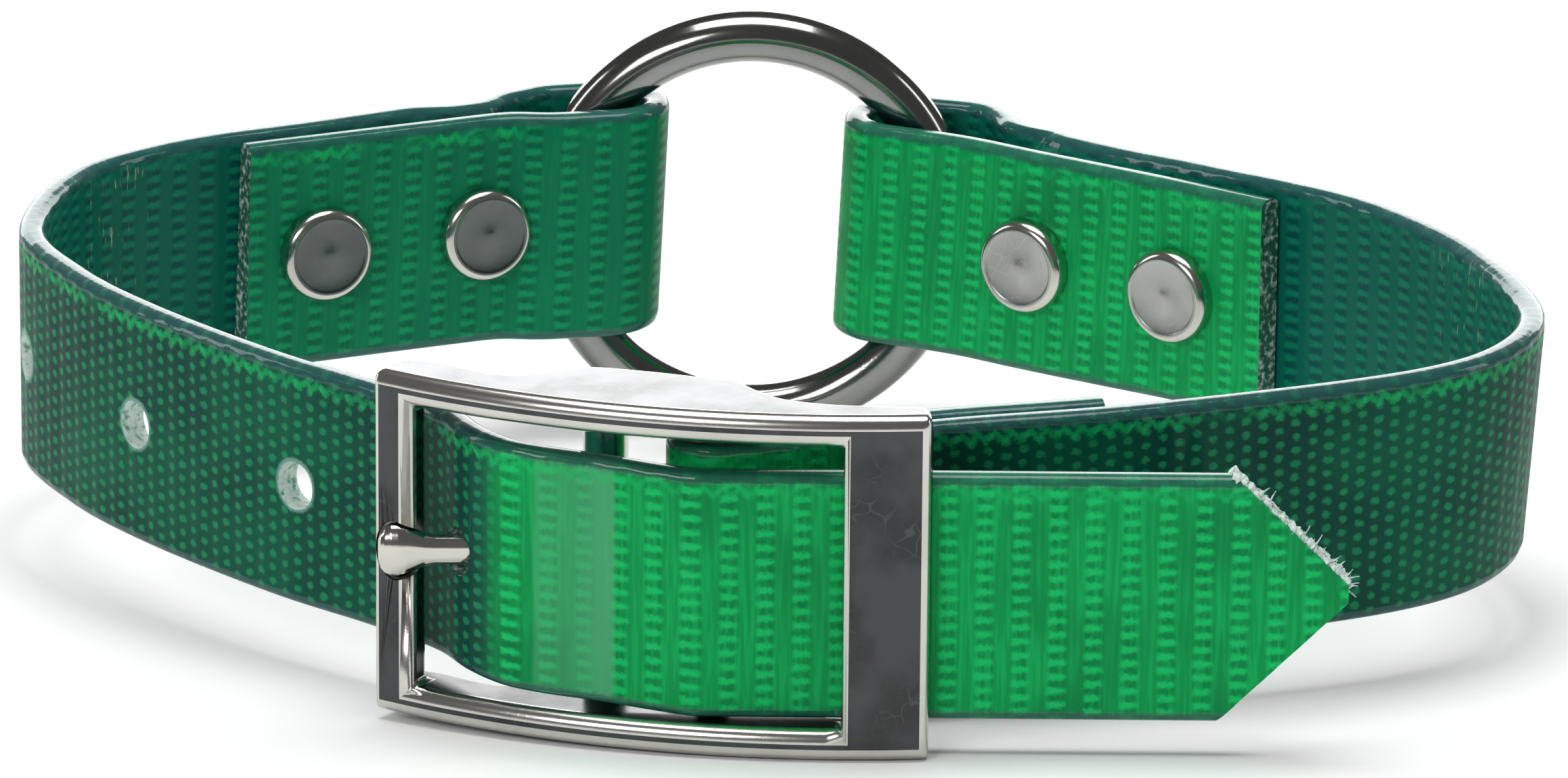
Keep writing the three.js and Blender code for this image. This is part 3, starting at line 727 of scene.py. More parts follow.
def nickel_material(name, tone, polish, worn):
    n = Nodes(name)
    place = n.place()
    cloud = n.noise(place, 180.0, 4.0)
    grain = n.noise(n.scaled(place, (1.0, 0.3, 2.2)), 2400.0, 3.0)
    dull = tuple(c * 0.7 for c in tone)
    base = n.blend(n.times(n.step(cloud, 0.45, 0.65), worn), tone, dull)
    veins = n.add("ShaderNodeTexVoronoi", feature="DISTANCE_TO_EDGE")
    veins.inputs["Scale"].default_value = 520.0
    warped = n.add("ShaderNodeVectorMath", operation="ADD")
    n.link(place, warped.inputs[0])
    n.link(n.vector_noise(place, 300.0, 0.004), warped.inputs[1])
    n.link(warped.outputs[0], veins.inputs["Vector"])
    scratch = n.times(n.inverse(n.step(veins.outputs["Distance"], 0.0, 0.045)), n.step(cloud, 0.56, 0.66))
    bright = tuple(min(1.0, c * 1.9) for c in tone)
    base = n.blend(n.times(scratch, 0.35 * worn), base, bright)
    n.link(base, n.shader.inputs["Base Color"])
    n.shader.inputs["Metallic"].default_value = 1.0
    n.link(n.plus(polish, n.times(cloud, 0.16 * worn + 0.03)), n.shader.inputs["Roughness"])
    n.link(n.bump(n.plus(grain, scratch), 0.07 * worn + 0.015, 0.00006), n.shader.inputs["Normal"])
    return n.material


def finish(obj, material, body, smooth_angle):
    if material is not None:
        obj.data.materials.clear()
        obj.data.materials.append(material)
    obj.data.set_sharp_from_angle(angle=math.radians(smooth_angle))
    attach(obj, body)


def new_object(name, mesh_builder):
    mesh = bpy.data.meshes.new(name)
    mesh_builder.to_mesh(mesh)
    mesh_builder.free()
    obj = bpy.data.objects.new(name, mesh)
    bpy.context.scene.collection.objects.link(obj)
    for polygon in mesh.polygons:
        polygon.use_smooth = True
    return obj


# Straps: a ribbon of rounded sections, with ribs along the columns of the weave
def section_outline():
    """Points of the cross-section as (across thickness, height), with rounded selvages."""
    low, high = SELVAGE_RADIUS, STRAP_WIDTH - SELVAGE_RADIUS
    corner = HALF_THICKNESS - SELVAGE_RADIUS
    angles = [math.pi / 2 * i / SELVAGE_STEPS for i in range(SELVAGE_STEPS + 1)]
    rounded = [(corner + SELVAGE_RADIUS * math.cos(a), SELVAGE_RADIUS * math.sin(a)) for a in angles[1:]]
    steps = [(high - low) * i / FACE_STEPS for i in range(FACE_STEPS + 1)]
    right = [(HALF_THICKNESS, low + step) for step in steps] + [(t, high + h) for t, h in rounded]
    top_left = [(-t, h) for t, h in right[FACE_STEPS:][::-1]]
    left = [(-HALF_THICKNESS, high - step) for step in steps[1:]] + [(-t, low - h) for t, h in rounded]
    bottom = [(corner + SELVAGE_RADIUS * math.sin(a), low - SELVAGE_RADIUS * math.cos(a))
              for a in angles[:-1]]
    return right + top_left + left + bottom


SLOT_FACE, SLOT_EDGE, SLOT_CUT = range(3)


def stretched(height, down, up):
    """The webbing is drawn a little wider than its nominal width, as in the photo."""
    return up * height / STRAP_WIDTH - down * (1 - height / STRAP_WIDTH)


def standing_off(past, height):
    """Share of the flare of a top edge beside the ring, by the run past the fold."""
    along = smooth(past, -8.5, -3.5) * (1 - smooth(past, -2.0, 20.0))
    return along * smooth(height / STRAP_WIDTH, 0.68, 1.0)


def strap_mesh(name, path, settle, neck_sign, shape):
    """The shape gives how far a point stands outward and up from the plain ribbon, by run and height."""
    b = bmesh.new()
    uv = b.loops.layers.uv.new("run")
    outline = section_outline()
    directions = directions_of(path)
    runs = run_of(path)
    count = len(outline)
    rings = []
    for point, direction, run in zip(path, directions, runs):
        inward = inward_of(direction, 1)
        rib = RIB_HEIGHT * (0.5 - 0.5 * math.cos(2 * math.pi * run / COLUMN_PITCH))
        ring = []
        for across, height in outline:
            flat = smooth(HALF_THICKNESS - abs(across), 0.12, 0.0)
            out, up = shape(run, height)
            t = across * (1 - rib * flat / HALF_THICKNESS) - neck_sign * out
            p = (point + inward * t).to_3d()
            p.z = height + up
            settle(p)
            ring.append(b.verts.new(TO_FRAME @ p))
        rings.append(ring)
    for i in range(1, len(rings)):
        for k in range(count):
            m = (k + 1) % count
            face = b.faces.new((rings[i - 1][k], rings[i - 1][m], rings[i][m], rings[i][k]))
            values = ((runs[i - 1], k), (runs[i - 1], m), (runs[i], m), (runs[i], k))
            across = outline[k][0] + outline[m][0]
            shift = BACK_FACE if across * neck_sign > 0 else 0.0
            on_face = abs(outline[k][0]) == HALF_THICKNESS and abs(outline[m][0]) == HALF_THICKNESS
            face.material_index = SLOT_FACE if on_face else SLOT_EDGE
            for loop, (run, corner) in zip(face.loops, values):
                loop[uv].uv = (run, outline[corner][1] + shift)
    for ring, order in ((rings[0], -1), (rings[-1], 1)):
        face = b.faces.new(ring[::order])
        face.material_index = SLOT_CUT
    bmesh.ops.recalc_face_normals(b, faces=b.faces)
    return new_object(name, b)


def subtract(obj, cutters):
    for cutter in cutters:
        modifier = obj.modifiers.new("cut", "BOOLEAN")
        modifier.operation = "DIFFERENCE"
        modifier.solver = "EXACT"
        modifier.material_mode = "TRANSFER"
        modifier.object = cutter
    apply_modifiers(obj)
    for cutter in cutters:
        bpy.data.objects.remove(cutter)


def apply_modifiers(obj):
    graph = bpy.context.evaluated_depsgraph_get()
    shaped = obj.evaluated_get(graph)
    done = bpy.data.meshes.new_from_object(shaped, preserve_all_data_layers=True, depsgraph=graph)
    obj.modifiers.clear()
    obj.data = done


def cutter_object(name, b, material):
    obj = new_object(name, b)
    obj.data.materials.append(material)
    return obj


def set_in_frame(b, place=Matrix.Identity(4)):
    bmesh.ops.transform(b, matrix=TO_FRAME @ place, verts=b.verts)
    bmesh.ops.recalc_face_normals(b, faces=b.faces)


def lathe(b, outline, steps):
    bmesh.ops.spin(b, geom=outline, cent=(0, 0, 0), axis=(0, 0, 1), angle=2 * math.pi, steps=steps)
    bmesh.ops.remove_doubles(b, verts=b.verts, dist=1e-5)


def close_tube(b, rings):
    """Walls between rings of points, and a flat face at each end."""
    for low, high in zip(rings, rings[1:]):
        for k in range(len(low)):
            m = (k + 1) % len(low)
            b.faces.new((low[k], low[m], high[m], high[k]))
    b.faces.new(rings[0])
    b.faces.new(rings[-1])


def rod(radius, length):
    b = bmesh.new()
    bmesh.ops.create_cone(
        b, cap_ends=True, segments=ROUND_SIDES, radius1=radius, radius2=radius, depth=length)
    return b


def cross_cylinder(radius, centre, z, direction, half_length):
    """A cylinder whose axis is horizontal, along a plan direction."""
    b = rod(radius, 2 * half_length)
    axis = direction.to_3d().normalized()
    turn = axis.to_track_quat("Z", "Y").to_matrix().to_4x4()
    place = Matrix.Translation((centre.x, centre.y, z)) @ turn
    bmesh.ops.transform(b, matrix=TO_FRAME @ place, verts=b.verts)
    return b


def settled_height(settle, at):
    p = Vector((at.x, at.y, MID_HEIGHT))
    settle(p)
    return p.z


POST_PLACE = Vector((POST_X, STRAP_RISE_AT_POST + HALF_THICKNESS + CURL_CLEARANCE
                     + POST_RADIUS + GAP + CURL_THICKNESS))
TIP_PLACE = on_arc(TIP_FROM_END / ARC_LENGTH, FRONT_RADIUS - TIP_SUNK)
TONGUE_DIRECTION = (TIP_PLACE - POST_PLACE).normalized()
TONGUE_SIDE = inward_of(TONGUE_DIRECTION, 1)


def tongue_crossing():
    runs = run_of(long_main)
    for i in range(1, len(long_main)):
        a, b = long_main[i - 1], long_main[i]
        across_a = (a - POST_PLACE).dot(TONGUE_SIDE)
        across_b = (b - POST_PLACE).dot(TONGUE_SIDE)
        ahead = (b - POST_PLACE).dot(TONGUE_DIRECTION) > 0
        if across_a * across_b <= 0 and ahead and a.y < LOOP_DEPTH / 3:
            return runs[i - 1] + (b - a).length * across_a / (across_a - across_b)
    raise ValueError("the tongue doesn't cross the strap")


def run_at_x(x):
    """The run of the long strap where it passes a plan X in the buckle's window."""
    for point, run in zip(long_main, run_of(long_main)):
        if point.y < LOOP_DEPTH / 3 and point.x > x:
            return run
    raise ValueError("the strap doesn't pass there")


def adjusting_holes():
    first = tongue_crossing() - TONGUE_HOLE_PULL
    holes = []
    for i in range(HOLE_COUNT):
        run = first - i * HOLE_PITCH
        at, direction = point_along(long_main, run)
        z = TONGUE_Z if i == 0 else settled_height(settle_long, at)
        holes.append({"run": LONG_FOLD_RUN + run, "height": z, "at": at, "direction": direction})
    return holes


def point_cutters():
    shoulder = MID_HEIGHT + 2 * POINT_RISE
    longer = POINT_LENGTH * (shoulder - POINT_TIP_WIDTH / 2) / (MID_HEIGHT - POINT_TIP_WIDTH / 2)
    cutters = []
    for way in (1, -1):
        b = bmesh.new()
        corners = [
            (FREE_END_X - longer, way * shoulder),
            (FREE_END_X, way * POINT_TIP_WIDTH / 2),
            (FREE_END_X + POINT_LENGTH, way * POINT_TIP_WIDTH / 2),
            (FREE_END_X + POINT_LENGTH, way * STRAP_WIDTH),
            (FREE_END_X - longer, way * STRAP_WIDTH),
        ]
        face = b.faces.new([b.verts.new((x, -2 * STRAP_THICKNESS, POINT_MIDDLE + h)) for x, h in corners])
        swept = bmesh.ops.extrude_face_region(b, geom=[face])
        moved = [v for v in swept["geom"] if isinstance(v, bmesh.types.BMVert)]
        bmesh.ops.translate(b, vec=(0, 4 * STRAP_THICKNESS, 0), verts=moved)
        bmesh.ops.recalc_face_normals(b, faces=b.faces)
        bmesh.ops.transform(b, matrix=TO_FRAME, verts=b.verts)
        cutters.append(b)
    return cutters


def add_tube(b, points, radii, sides):
    """A closed tube in the plan's X and Z, flat ended, through points of the collar's own frame."""
    rings = []
    for i, (point, radius) in enumerate(zip(points, radii)):
        along = (points[min(i + 1, len(points) - 1)] - points[max(i - 1, 0)]).normalized()
        aside = along.cross(Vector((0, 1, 0))).normalized()
        ring = []
        for k in range(sides):
            a = 2 * math.pi * k / sides
            place = point + (aside * math.cos(a) + Vector((0, 1, 0)) * math.sin(a)) * radius
            ring.append(b.verts.new(TO_FRAME @ place))
        rings.append(ring)
    close_tube(b, rings)


def make_fray(material):
    """White threads stand out along the upper slant of the free end's point and at its tip."""
    chance = random.Random(4)
    top = Vector((FREE_END_X - POINT_LENGTH, 0, POINT_MIDDLE + MID_HEIGHT - 0.1))
    tip = Vector((FREE_END_X - 0.1, 0, POINT_MIDDLE + POINT_TIP_WIDTH / 2))
    b = bmesh.new()
    for side in (-0.55, 0.0, 0.55):
        points, radii = [], []
        count = 70
        for i in range(count + 1):
            x, y, z = (chance.uniform(-most, most) for most in (0.1, 0.12, 0.1))
            points.append(top.lerp(tip, i / count) + Vector((x, side + y, z)))
            radii.append(chance.uniform(0.25, 0.46))
        add_tube(b, points, radii, 8)
    for i in range(46):
        share = 1 - chance.random()**2 * 0.9
        root = top.lerp(tip, share) + Vector((0, chance.uniform(-0.8, 0.8), chance.uniform(-0.8, 0.1)))
        reach = chance.uniform(0.5, 1.3)
        heading = Vector((chance.uniform(0.2, 1.0), chance.uniform(-0.4, 0.4), chance.uniform(-0.35, 0.9)))
        heading.normalize()
        bend = Vector((chance.uniform(-0.2, 0.2), 0, chance.uniform(-0.3, 0.3)))
        points = [root + heading * (reach * k / 5) + bend * (k / 5)**2 for k in range(6)]
        add_tube(b, points, [0.10 - 0.014 * k for k in range(6)], 6)
    bmesh.ops.recalc_face_normals(b, faces=b.faces)
    finish(new_object("webbing_fray", b), material, "collar", 60.0)


def long_shape(run, height):
    """The outer layer's top edge stands off the inner layer beside the ring, a little higher beyond it."""
    past = run - LONG_FOLD_RUN
    rise = LEFT_RISE * smooth(past, 0.0, 6.0) * (1 - smooth(past, 40.0, 60.0))
    return LEFT_FLARE * standing_off(past, height), stretched(height, LONG_DOWN, SPREAD_UP) + rise


def short_shape(run, height):
    past = run - SHORT_FOLD_RUN
    rise = RIGHT_RISE * smooth(past, 4.0, 22.0) * (1 - smooth(past, 26.0, 50.0))
    spread = stretched(height, SHORT_DOWN, SPREAD_UP) * smooth(past, 0.0, 15.0)
    return RIGHT_FLARE * standing_off(past, height), rise + spread


def clothe(strap, name, cut, *looks):
    """The strap's edges have more of the glossy coat than its faces."""
    for ending, gloss in (("", FACE_GLOSS), ("_edge", EDGE_GLOSS)):
        strap.data.materials.append(webbing_material(name + ending, gloss, *looks))
    strap.data.materials.append(cut)


def make_straps():
    cut = cut_material("webbing_cut", (0.012, 0.11, 0.07), 0.44, 0.74)
    frayed = cut_material("webbing_frayed", (0.10, 0.30, 0.20), 0.30, 0.52)
    holes = adjusting_holes()
    long_strap = strap_mesh("webbing_long", long_path, settle_long, 1, long_shape)
    dotted = (LONG_FOLD_RUN, LONG_FOLD_RUN + tongue_crossing() + DOTS_PAST_TONGUE)
    # The run that carries the painted reflection
    reflected_run = tuple(LONG_FOLD_RUN + run_at_x(x) for x in (REFLECTION_FROM_X, REFLECTION_TO_X))
    scuffed = tuple(LONG_FOLD_RUN + run for run in LONG_SCUFF)
    # 0.7: painted shade on the left fold's folded-over end
    clothe(long_strap, "coated_webbing_long", cut, holes, dotted, reflected_run, scuffed, 0.7)
    cutters = []
    for i, hole in enumerate(holes):
        inward = inward_of(hole["direction"], 1)
        b = cross_cylinder(HOLE_RADIUS, hole["at"], hole["height"], inward, STRAP_THICKNESS)
        cutters.append(cutter_object(f"hole_cutter_{i}", b, frayed if i else cut))
    for i, b in enumerate(point_cutters()):
        cutters.append(cutter_object(f"point_cutter_{i}", b, cut))
    subtract(long_strap, cutters)
    make_fray(frayed)
    short_strap = strap_mesh("webbing_short", short_path, settle_short, -1, short_shape)
    dotted = (SHORT_FOLD_RUN, SHORT_FOLD_RUN + run_of(short_main)[-1])
    scuffed = tuple(SHORT_FOLD_RUN + run for run in SHORT_SCUFF)
    clothe(short_strap, "coated_webbing_short", cut, [], dotted, (0.0, 0.0), scuffed, 0.1)
    for obj, node in ((long_strap, "strap_long"), (short_strap, "strap_short")):
        finish(obj, None, "collar", 50.0)
        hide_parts(node)


# Ring
def make_ring(material):
    b = bmesh.new()
    grid = []
    for i in range(RING_STEPS):
        a = 2 * math.pi * i / RING_STEPS
        row = []
        for k in range(ROUND_SIDES):
            c = 2 * math.pi * k / ROUND_SIDES
            reach = RING_RADIUS + WIRE_RADIUS * math.cos(c)
            p = Vector((RING_OFFSET_X + reach * math.cos(a), LOOP_DEPTH + WIRE_RADIUS * math.sin(c),
                        RING_Z + reach * math.sin(a)))
            row.append(b.verts.new(TO_FRAME @ p))
        grid.append(row)
    for i in range(RING_STEPS):
        for k in range(ROUND_SIDES):
            j, m = (i + 1) % RING_STEPS, (k + 1) % ROUND_SIDES
            b.faces.new((grid[i][k], grid[i][m], grid[j][m], grid[j][k]))
    bmesh.ops.recalc_face_normals(b, faces=b.faces)
    ring = new_object("lead_ring", b)
    finish(ring, material, "ring", 60.0)
    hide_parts("o_ring")


# Rivets: a lathe profile of a flat cap with a rounded rim and a pressed line inside it
def rivet_profile():
    half = STRAP_THICKNESS + 1.5 * GAP
    top = half + CAP_THICKNESS
    seat = half - GAP
    points = [(0, -top), (BACK_CAP_RADIUS * 0.45, -top)]
    for i in range(9):
        a = math.pi / 2 * i / 8
        reach = BACK_CAP_RADIUS * (0.6 + 0.4 * math.sin(a))
        points.append((reach, -top + CAP_THICKNESS * 0.75 * (1 - math.cos(a))))
    points += [(BACK_CAP_RADIUS, -seat), (SHANK_RADIUS, -seat), (SHANK_RADIUS, seat), (CAP_RADIUS, seat)]
    for i in range(9):
        a = math.pi / 2 * i / 8
        inset = CAP_ROUNDING * (1 - math.cos(a))
        points.append((CAP_RADIUS - inset, top - CAP_ROUNDING * (1 - math.sin(a))))
    for row in CAP_RELIEF:
        points.append((CAP_RADIUS * row["out"], top - row["down"]))
    return points


def make_rivet(name, at, inward, settle, centre_metal, rim_highlight_metal):
    centre = at + inward * (LAYER_PITCH / 2)
    z = settled_height(settle, centre)
    b = bmesh.new()
    profile = [b.verts.new((reach, 0, along)) for reach, along in rivet_profile()]
    edges = [b.edges.new(pair) for pair in zip(profile, profile[1:])]
    lathe(b, profile + edges, RIVET_STEPS)
    for face in b.faces:
        # Faces beyond RIM_FROM take the rim's bright tone, a painted highlight on the rounded rim
        face.material_index = int(face.calc_center_median().to_2d().length > CAP_RADIUS * RIM_FROM)
    turn = inward.to_3d().to_track_quat("Z", "Y").to_matrix().to_4x4()
    place = Matrix.Translation((centre.x, centre.y, z)) @ turn
    set_in_frame(b, place)
    rivet = new_object(f"detailed_{name}", b)
    rivet.data.materials.append(centre_metal)
    rivet.data.materials.append(rim_highlight_metal)
    finish(rivet, None, "collar", 40.0)
    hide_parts(name)


def make_rivets():
    # Lit and shaded copies of one nickel: the ring's left rivets take the darker one as painted shade
    dark = nickel_material("nickel_rivet_painted_shade", (0.13, 0.14, 0.14), 0.22, 0.5)
    light = nickel_material("nickel_rivet_lit", (0.42, 0.42, 0.40), 0.24, 0.5)
    # Bright tone of the rivets' rims: a painted highlight
    rim = nickel_material("nickel_rivet_rim_painted_highlight", (0.58, 0.565, 0.52), 0.14, 0.3)
    rows = (
        ("rivet_ring_left", long_main, 1, settle_long, dark),
        ("rivet_ring_right", short_main, -1, settle_short, light),
        ("rivet_buckle", short_from_heel, 1, settle_short, light),
    )
    for name, main, side, settle, material in rows:
        for i in range(2):
            at, direction = point_along(main, i * RIVET_PITCH)
            make_rivet(f"{name}_{i + 1}", at, inward_of(direction, side), settle, material, rim)


# Buckle: two plates joined by the rest bar and the keeper bar, built slab by slab
def front_arc(low, high, radius, steps):
    return [on_arc(low + (high - low) * i / steps, radius) for i in range(steps + 1)]


REST_SHARE = REST_BAR_WIDTH / ARC_LENGTH
KEEPER_SHARE = 1 - KEEPER_BAR_WIDTH / ARC_LENGTH


def buckle_plan():
    """Plan loops, all anticlockwise seen from above: whole plate, rest bar, keeper bar, open part."""
    rest_front = front_arc(0, REST_SHARE, FRONT_RADIUS, 1)
    open_front = front_arc(REST_SHARE, KEEPER_SHARE, FRONT_RADIUS, 28)
    keeper_front = front_arc(KEEPER_SHARE, 1, FRONT_RADIUS, 2)
    rest_back = front_arc(0, REST_SHARE, FRONT_RADIUS - REST_BAR_THICKNESS, 1)
    back_y = -HALF_THICKNESS - GAP
    keeper_back = [Vector((p.x, back_y)) for p in keeper_front]
    sections = [on_arc(s["along"], FRONT_RADIUS - s["depth"] * PLATE_DEPTH) for s in PLATE_SECTIONS]
    back = spline_through(sections, 0.8)
    back[0] = on_arc(0, FRONT_RADIUS - PLATE_SECTIONS[0]["depth"] * PLATE_DEPTH)
    return {
        "rest_front": rest_front, "open_front": open_front, "keeper_front": keeper_front,
        "rest_back": rest_back, "keeper_back": keeper_back, "back": back,
    }


def buckle_mesh():
    plan = buckle_plan()
    b = bmesh.new()
    made = {}

    def at(p, z):
        key = (round(p.x, 5), round(p.y, 5), round(z, 5))
        if key not in made:
            made[key] = b.verts.new((p.x, p.y, z))
        return made[key]

    def wall(points, low, high):
        for p, q in zip(points, points[1:]):
            b.faces.new((at(p, low), at(q, low), at(q, high), at(p, high)))

    def lid(points, z):
        b.faces.new([at(p, z) for p in points])

    levels = (BUCKLE_BOTTOM, WINDOW_BOTTOM, WINDOW_TOP, BUCKLE_TOP)
    rest_front, open_front, keeper_front = plan["rest_front"], plan["open_front"], plan["keeper_front"]
    rest_back, keeper_back, back = plan["rest_back"], plan["keeper_back"], plan["back"]
    front = rest_front + open_front[1:] + keeper_front[1:]
    left_end = [back[0], rest_back[0], rest_front[0]]
    right_end = [keeper_front[-1], keeper_back[-1], back[-1]]
    for low, high in ((levels[0], levels[1]), (levels[2], levels[3])):
        wall(front, low, high)
        wall(right_end, low, high)
        wall(back[::-1], low, high)
        wall(left_end, low, high)
    wall(rest_front + rest_back[::-1] + [rest_front[0]], levels[1], levels[2])
    wall(keeper_front + keeper_back[::-1] + [keeper_front[0]], levels[1], levels[2])
    outline = front + right_end[1:] + back[::-1][1:] + left_end[1:-1]
    lid(outline, levels[3])
    lid(outline, levels[0])
    inside = open_front + keeper_back + back[::-1] + rest_back
    for z in (levels[1], levels[2]):
        lid(inside, z)
    bmesh.ops.recalc_face_normals(b, faces=b.faces)
    return b


def edge_rounding(edge):
    """How far a sharp edge of the buckle is rounded, in millimetres, by where it lies on the front."""
    a, c = (v.co.copy() for v in edge.verts)
    centre = Vector((BUCKLE_CENTRE_X, BUCKLE_CENTRE_Y))
    if any(abs((p.to_2d() - centre).length - FRONT_RADIUS) > 0.01 for p in (a, c)):
        return ROUNDING["back"]
    if abs(a.z - c.z) < 0.01:
        return ROUNDING["rail"]
    for share, name in ((REST_SHARE, "rest_bar_inner"), (KEEPER_SHARE, "keeper_inner"), (1, "keeper_outer")):
        if (a.to_2d() - on_arc(share, FRONT_RADIUS)).length < 0.01:
            return ROUNDING[name]
    return ROUNDING["back"]


def weight_edges(b):
    """The bevel's weights are shares of the widest rounding."""
    weight = b.edges.layers.float.new("bevel_weight_edge")
    for edge in b.edges:
        if len(edge.link_faces) == 2 and edge.calc_face_angle() > math.radians(40):
            edge[weight] = edge_rounding(edge) / WIDEST_ROUNDING


def upright(radius, place, low, high):
    b = rod(radius, high - low)
    bmesh.ops.translate(b, vec=(place.x, place.y, (low + high) / 2), verts=b.verts)
    return b


def tip_ellipsoid(extra):
    b = bmesh.new()
    bmesh.ops.create_uvsphere(b, u_segments=40, v_segments=24, radius=1.0)
    turn = Matrix.Rotation(math.atan2(TONGUE_DIRECTION.y, TONGUE_DIRECTION.x), 4, "Z")
    size = Matrix.Diagonal((TIP_LENGTH + extra, TIP_THICKNESS + extra, TIP_RADIUS + extra, 1.0))
    place = Matrix.Translation((TIP_PLACE.x, TIP_PLACE.y, TONGUE_Z))
    bmesh.ops.transform(b, matrix=place @ turn @ size, verts=b.verts)
    return b


def make_buckle(material, bright_nickel):
    b = buckle_mesh()
    weight_edges(b)
    set_in_frame(b)
    buckle = new_object("buckle_body", b)
    buckle.data.materials.append(material)
    buckle.data.materials.append(bright_nickel)
    bevel = buckle.modifiers.new("rounding", "BEVEL")
    bevel.limit_method = "WEIGHT"
    bevel.offset_type = "OFFSET"
    bevel.width = WIDEST_ROUNDING * MM
    bevel.segments = 5
    # The rounded edges take the bright tone: a painted highlight
    bevel.material = 1
    apply_modifiers(buckle)
    seat = tip_ellipsoid(TIP_CLEARANCE)
    bmesh.ops.transform(seat, matrix=TO_FRAME, verts=seat.verts)
    subtract(buckle, [cutter_object("seat_cutter", seat, bright_nickel)])
    buckle.data.set_sharp_from_angle(angle=math.radians(30.0))
    even_shading = buckle.modifiers.new("even_shading", "WEIGHTED_NORMAL")
    even_shading.keep_sharp = True
    apply_modifiers(buckle)
    finish(buckle, None, "collar", 30.0)
    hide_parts("buckle_frame")
    plate = (BUCKLE_HEIGHT - WINDOW_HEIGHT) / 2
    bars = (("buckle_post", POST_RADIUS, POST_PLACE), ("buckle_heel_bar", HEEL_BAR_RADIUS, HEEL_PLACE))
    for name, radius, place in bars:
        bar = upright(radius, place, BUCKLE_BOTTOM + plate / 2, BUCKLE_TOP - plate / 2)
        bmesh.ops.transform(bar, matrix=TO_FRAME, verts=bar.verts)
        finish(new_object(name, bar), bright_nickel, "collar", 40.0)


# Tongue: curl round the post, a round shank through the strap, and a bulb in the rest bar's seat
def make_tongue(material):
    b = bmesh.new()
    start = (TIP_PLACE - POST_PLACE).length - POST_RADIUS - GAP - 0.3
    stations = [{"from_tip": start, "tall": TONGUE_WIDTH / 2, "thick": TONGUE_THICKNESS / 2}] + BULB
    fine = 8
    sides = 36
    rows = []
    for s, t in zip(stations, stations[1:]):
        for i in range(fine):
            rows.append({key: s[key] + (t[key] - s[key]) * i / fine for key in s})
    rows.append(stations[-1])
    rings = []
    for row in rows:
        centre = TIP_PLACE - TONGUE_DIRECTION * row["from_tip"]
        ring = []
        for k in range(sides):
            a = 2 * math.pi * k / sides
            side = centre + TONGUE_SIDE * (row["thick"] * math.cos(a))
            ring.append(b.verts.new((side.x, side.y, TONGUE_Z + row["tall"] * math.sin(a))))
        rings.append(ring)
    close_tube(b, rings)
    set_in_frame(b)
    tongue = new_object("tongue_shank", b)
    finish(tongue, material, "collar", 60.0)
    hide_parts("tongue")
    inner, outer = POST_RADIUS + GAP, POST_RADIUS + GAP + CURL_THICKNESS
    half = CURL_HEIGHT / 2
    curl = bmesh.new()
    corner = 0.4
    profile = [(inner, -half), (outer - corner, -half), (outer, -half + corner),
               (outer, half - corner), (outer - corner, half), (inner, half)]
    points = [curl.verts.new((reach_out, 0, z)) for reach_out, z in profile]
    edges = [curl.edges.new((points[i], points[(i + 1) % len(points)])) for i in range(len(points))]
    lathe(curl, points + edges, CURL_STEPS)
    set_in_frame(curl, Matrix.Translation((POST_PLACE.x, POST_PLACE.y, TONGUE_Z)))
    finish(new_object("tongue_curl", curl), material, "collar", 40.0)


# Camera, floor and light
CAMERA_ELEVATION = math.radians(17.8)
CAMERA_ROLL = math.radians(0.4928)
CAMERA_DISTANCE = 880.254
CAMERA_TARGET = Vector((0.0, 33.1, 14.0))
LIGHT_AIM = Vector((0, 0, 0.015))


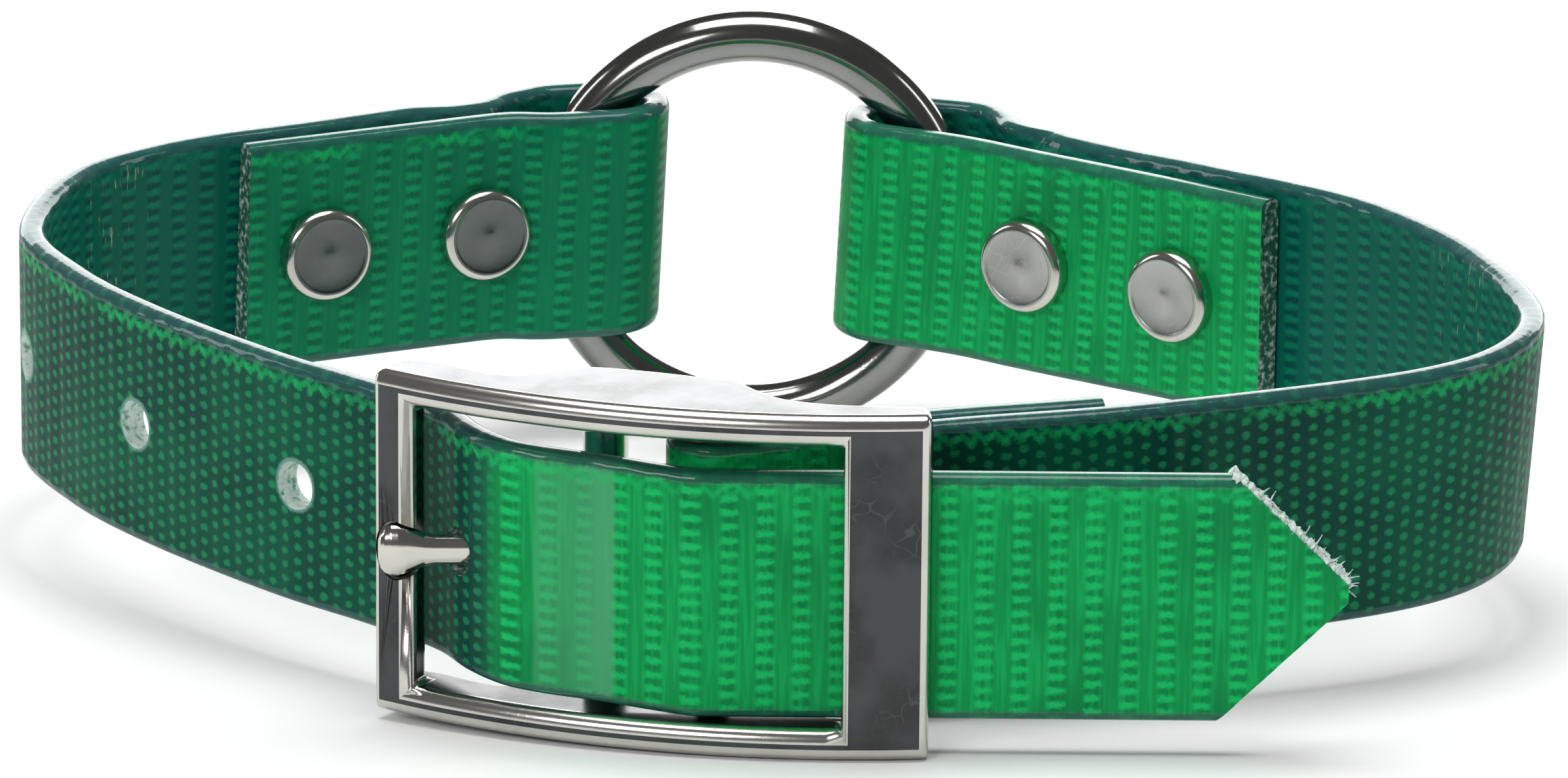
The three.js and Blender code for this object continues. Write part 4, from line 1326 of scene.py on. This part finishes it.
def make_camera():
    forward = Vector((0, math.cos(CAMERA_ELEVATION), -math.sin(CAMERA_ELEVATION)))
    right = Vector((1, 0, 0))
    up = Vector((0, math.sin(CAMERA_ELEVATION), math.cos(CAMERA_ELEVATION)))
    rolled = right * math.cos(CAMERA_ROLL) + up * math.sin(CAMERA_ROLL)
    up = up * math.cos(CAMERA_ROLL) - right * math.sin(CAMERA_ROLL)
    eye = CAMERA_TARGET - forward * CAMERA_DISTANCE
    turn = Matrix((rolled, up, -forward)).transposed().to_4x4()
    data = bpy.data.cameras.new("camera")
    data.sensor_width = 36.0
    data.lens = 254.56
    data.clip_start = 0.05
    camera = bpy.data.objects.new("camera", data)
    camera.matrix_world = Matrix.Translation(TO_FRAME @ eye) @ TURN @ turn
    bpy.context.scene.collection.objects.link(camera)
    bpy.context.scene.camera = camera


def make_floor():
    b = bmesh.new()
    bmesh.ops.create_grid(b, x_segments=1, y_segments=1, size=4.0)
    floor = new_object("floor", b)
    n = Nodes("floor_paper")
    n.shader.inputs["Base Color"].default_value = (0.92, 0.92, 0.92, 1)
    n.shader.inputs["Roughness"].default_value = 0.9
    floor.data.materials.append(n.material)


def softbox(name, place, size, radiance):
    """A rectangular light, by its size in metres and its own brightness."""
    data = bpy.data.lights.new(name, "AREA")
    data.shape = "RECTANGLE"
    data.size, data.size_y = size
    data.energy = radiance * math.pi * size[0] * size[1]
    light = bpy.data.objects.new(name, data)
    light.location = place
    light.rotation_euler = (LIGHT_AIM - Vector(place)).to_track_quat("-Z", "Y").to_euler()
    light.visible_camera = False
    bpy.context.scene.collection.objects.link(light)


def make_light():
    softbox("back_wall", (0.0, 1.2, 0.35), (1.8, 0.6), 5.0)
    softbox("overhead", (0.0, -0.05, 0.7), (0.5, 0.4), 6.5)
    softbox("front_left", (-0.45, -0.85, 0.5), (0.45, 0.3), 8.0)
    softbox("left_strip", (-0.8, 0.1, 0.3), (0.12, 0.5), 5.0)
    softbox("right_strip", (0.8, 0.0, 0.3), (0.12, 0.5), 4.0)
    world = bpy.data.worlds.new("studio")
    world.use_nodes = True
    world.node_tree.nodes["Background"].inputs["Color"].default_value = (1, 1, 1, 1)
    world.node_tree.nodes["Background"].inputs["Strength"].default_value = 0.12
    bpy.context.scene.world = world
    bpy.context.scene.view_settings.view_transform = "Standard"


make_camera()
make_floor()
make_light()
make_straps()
# Painted reflection and highlight: the buckle's flat faces get a near-black tone standing in for dark
# surroundings reflected in them, and its rounded edges a bright tone standing in for highlights
face_nickel_painted_dark = nickel_material("nickel_buckle", (0.075, 0.078, 0.080), 0.16, 1.0)
edge_nickel_painted_highlight = nickel_material("nickel_buckle_edges_painted_highlight", (0.62, 0.61, 0.57), 0.16, 0.3)
make_buckle(face_nickel_painted_dark, edge_nickel_painted_highlight)
make_tongue(nickel_material("nickel_tongue", (0.62, 0.61, 0.56), 0.10, 0.3))
make_ring(nickel_material("nickel_ring", (0.28, 0.28, 0.27), 0.10, 0.3))
make_rivets()
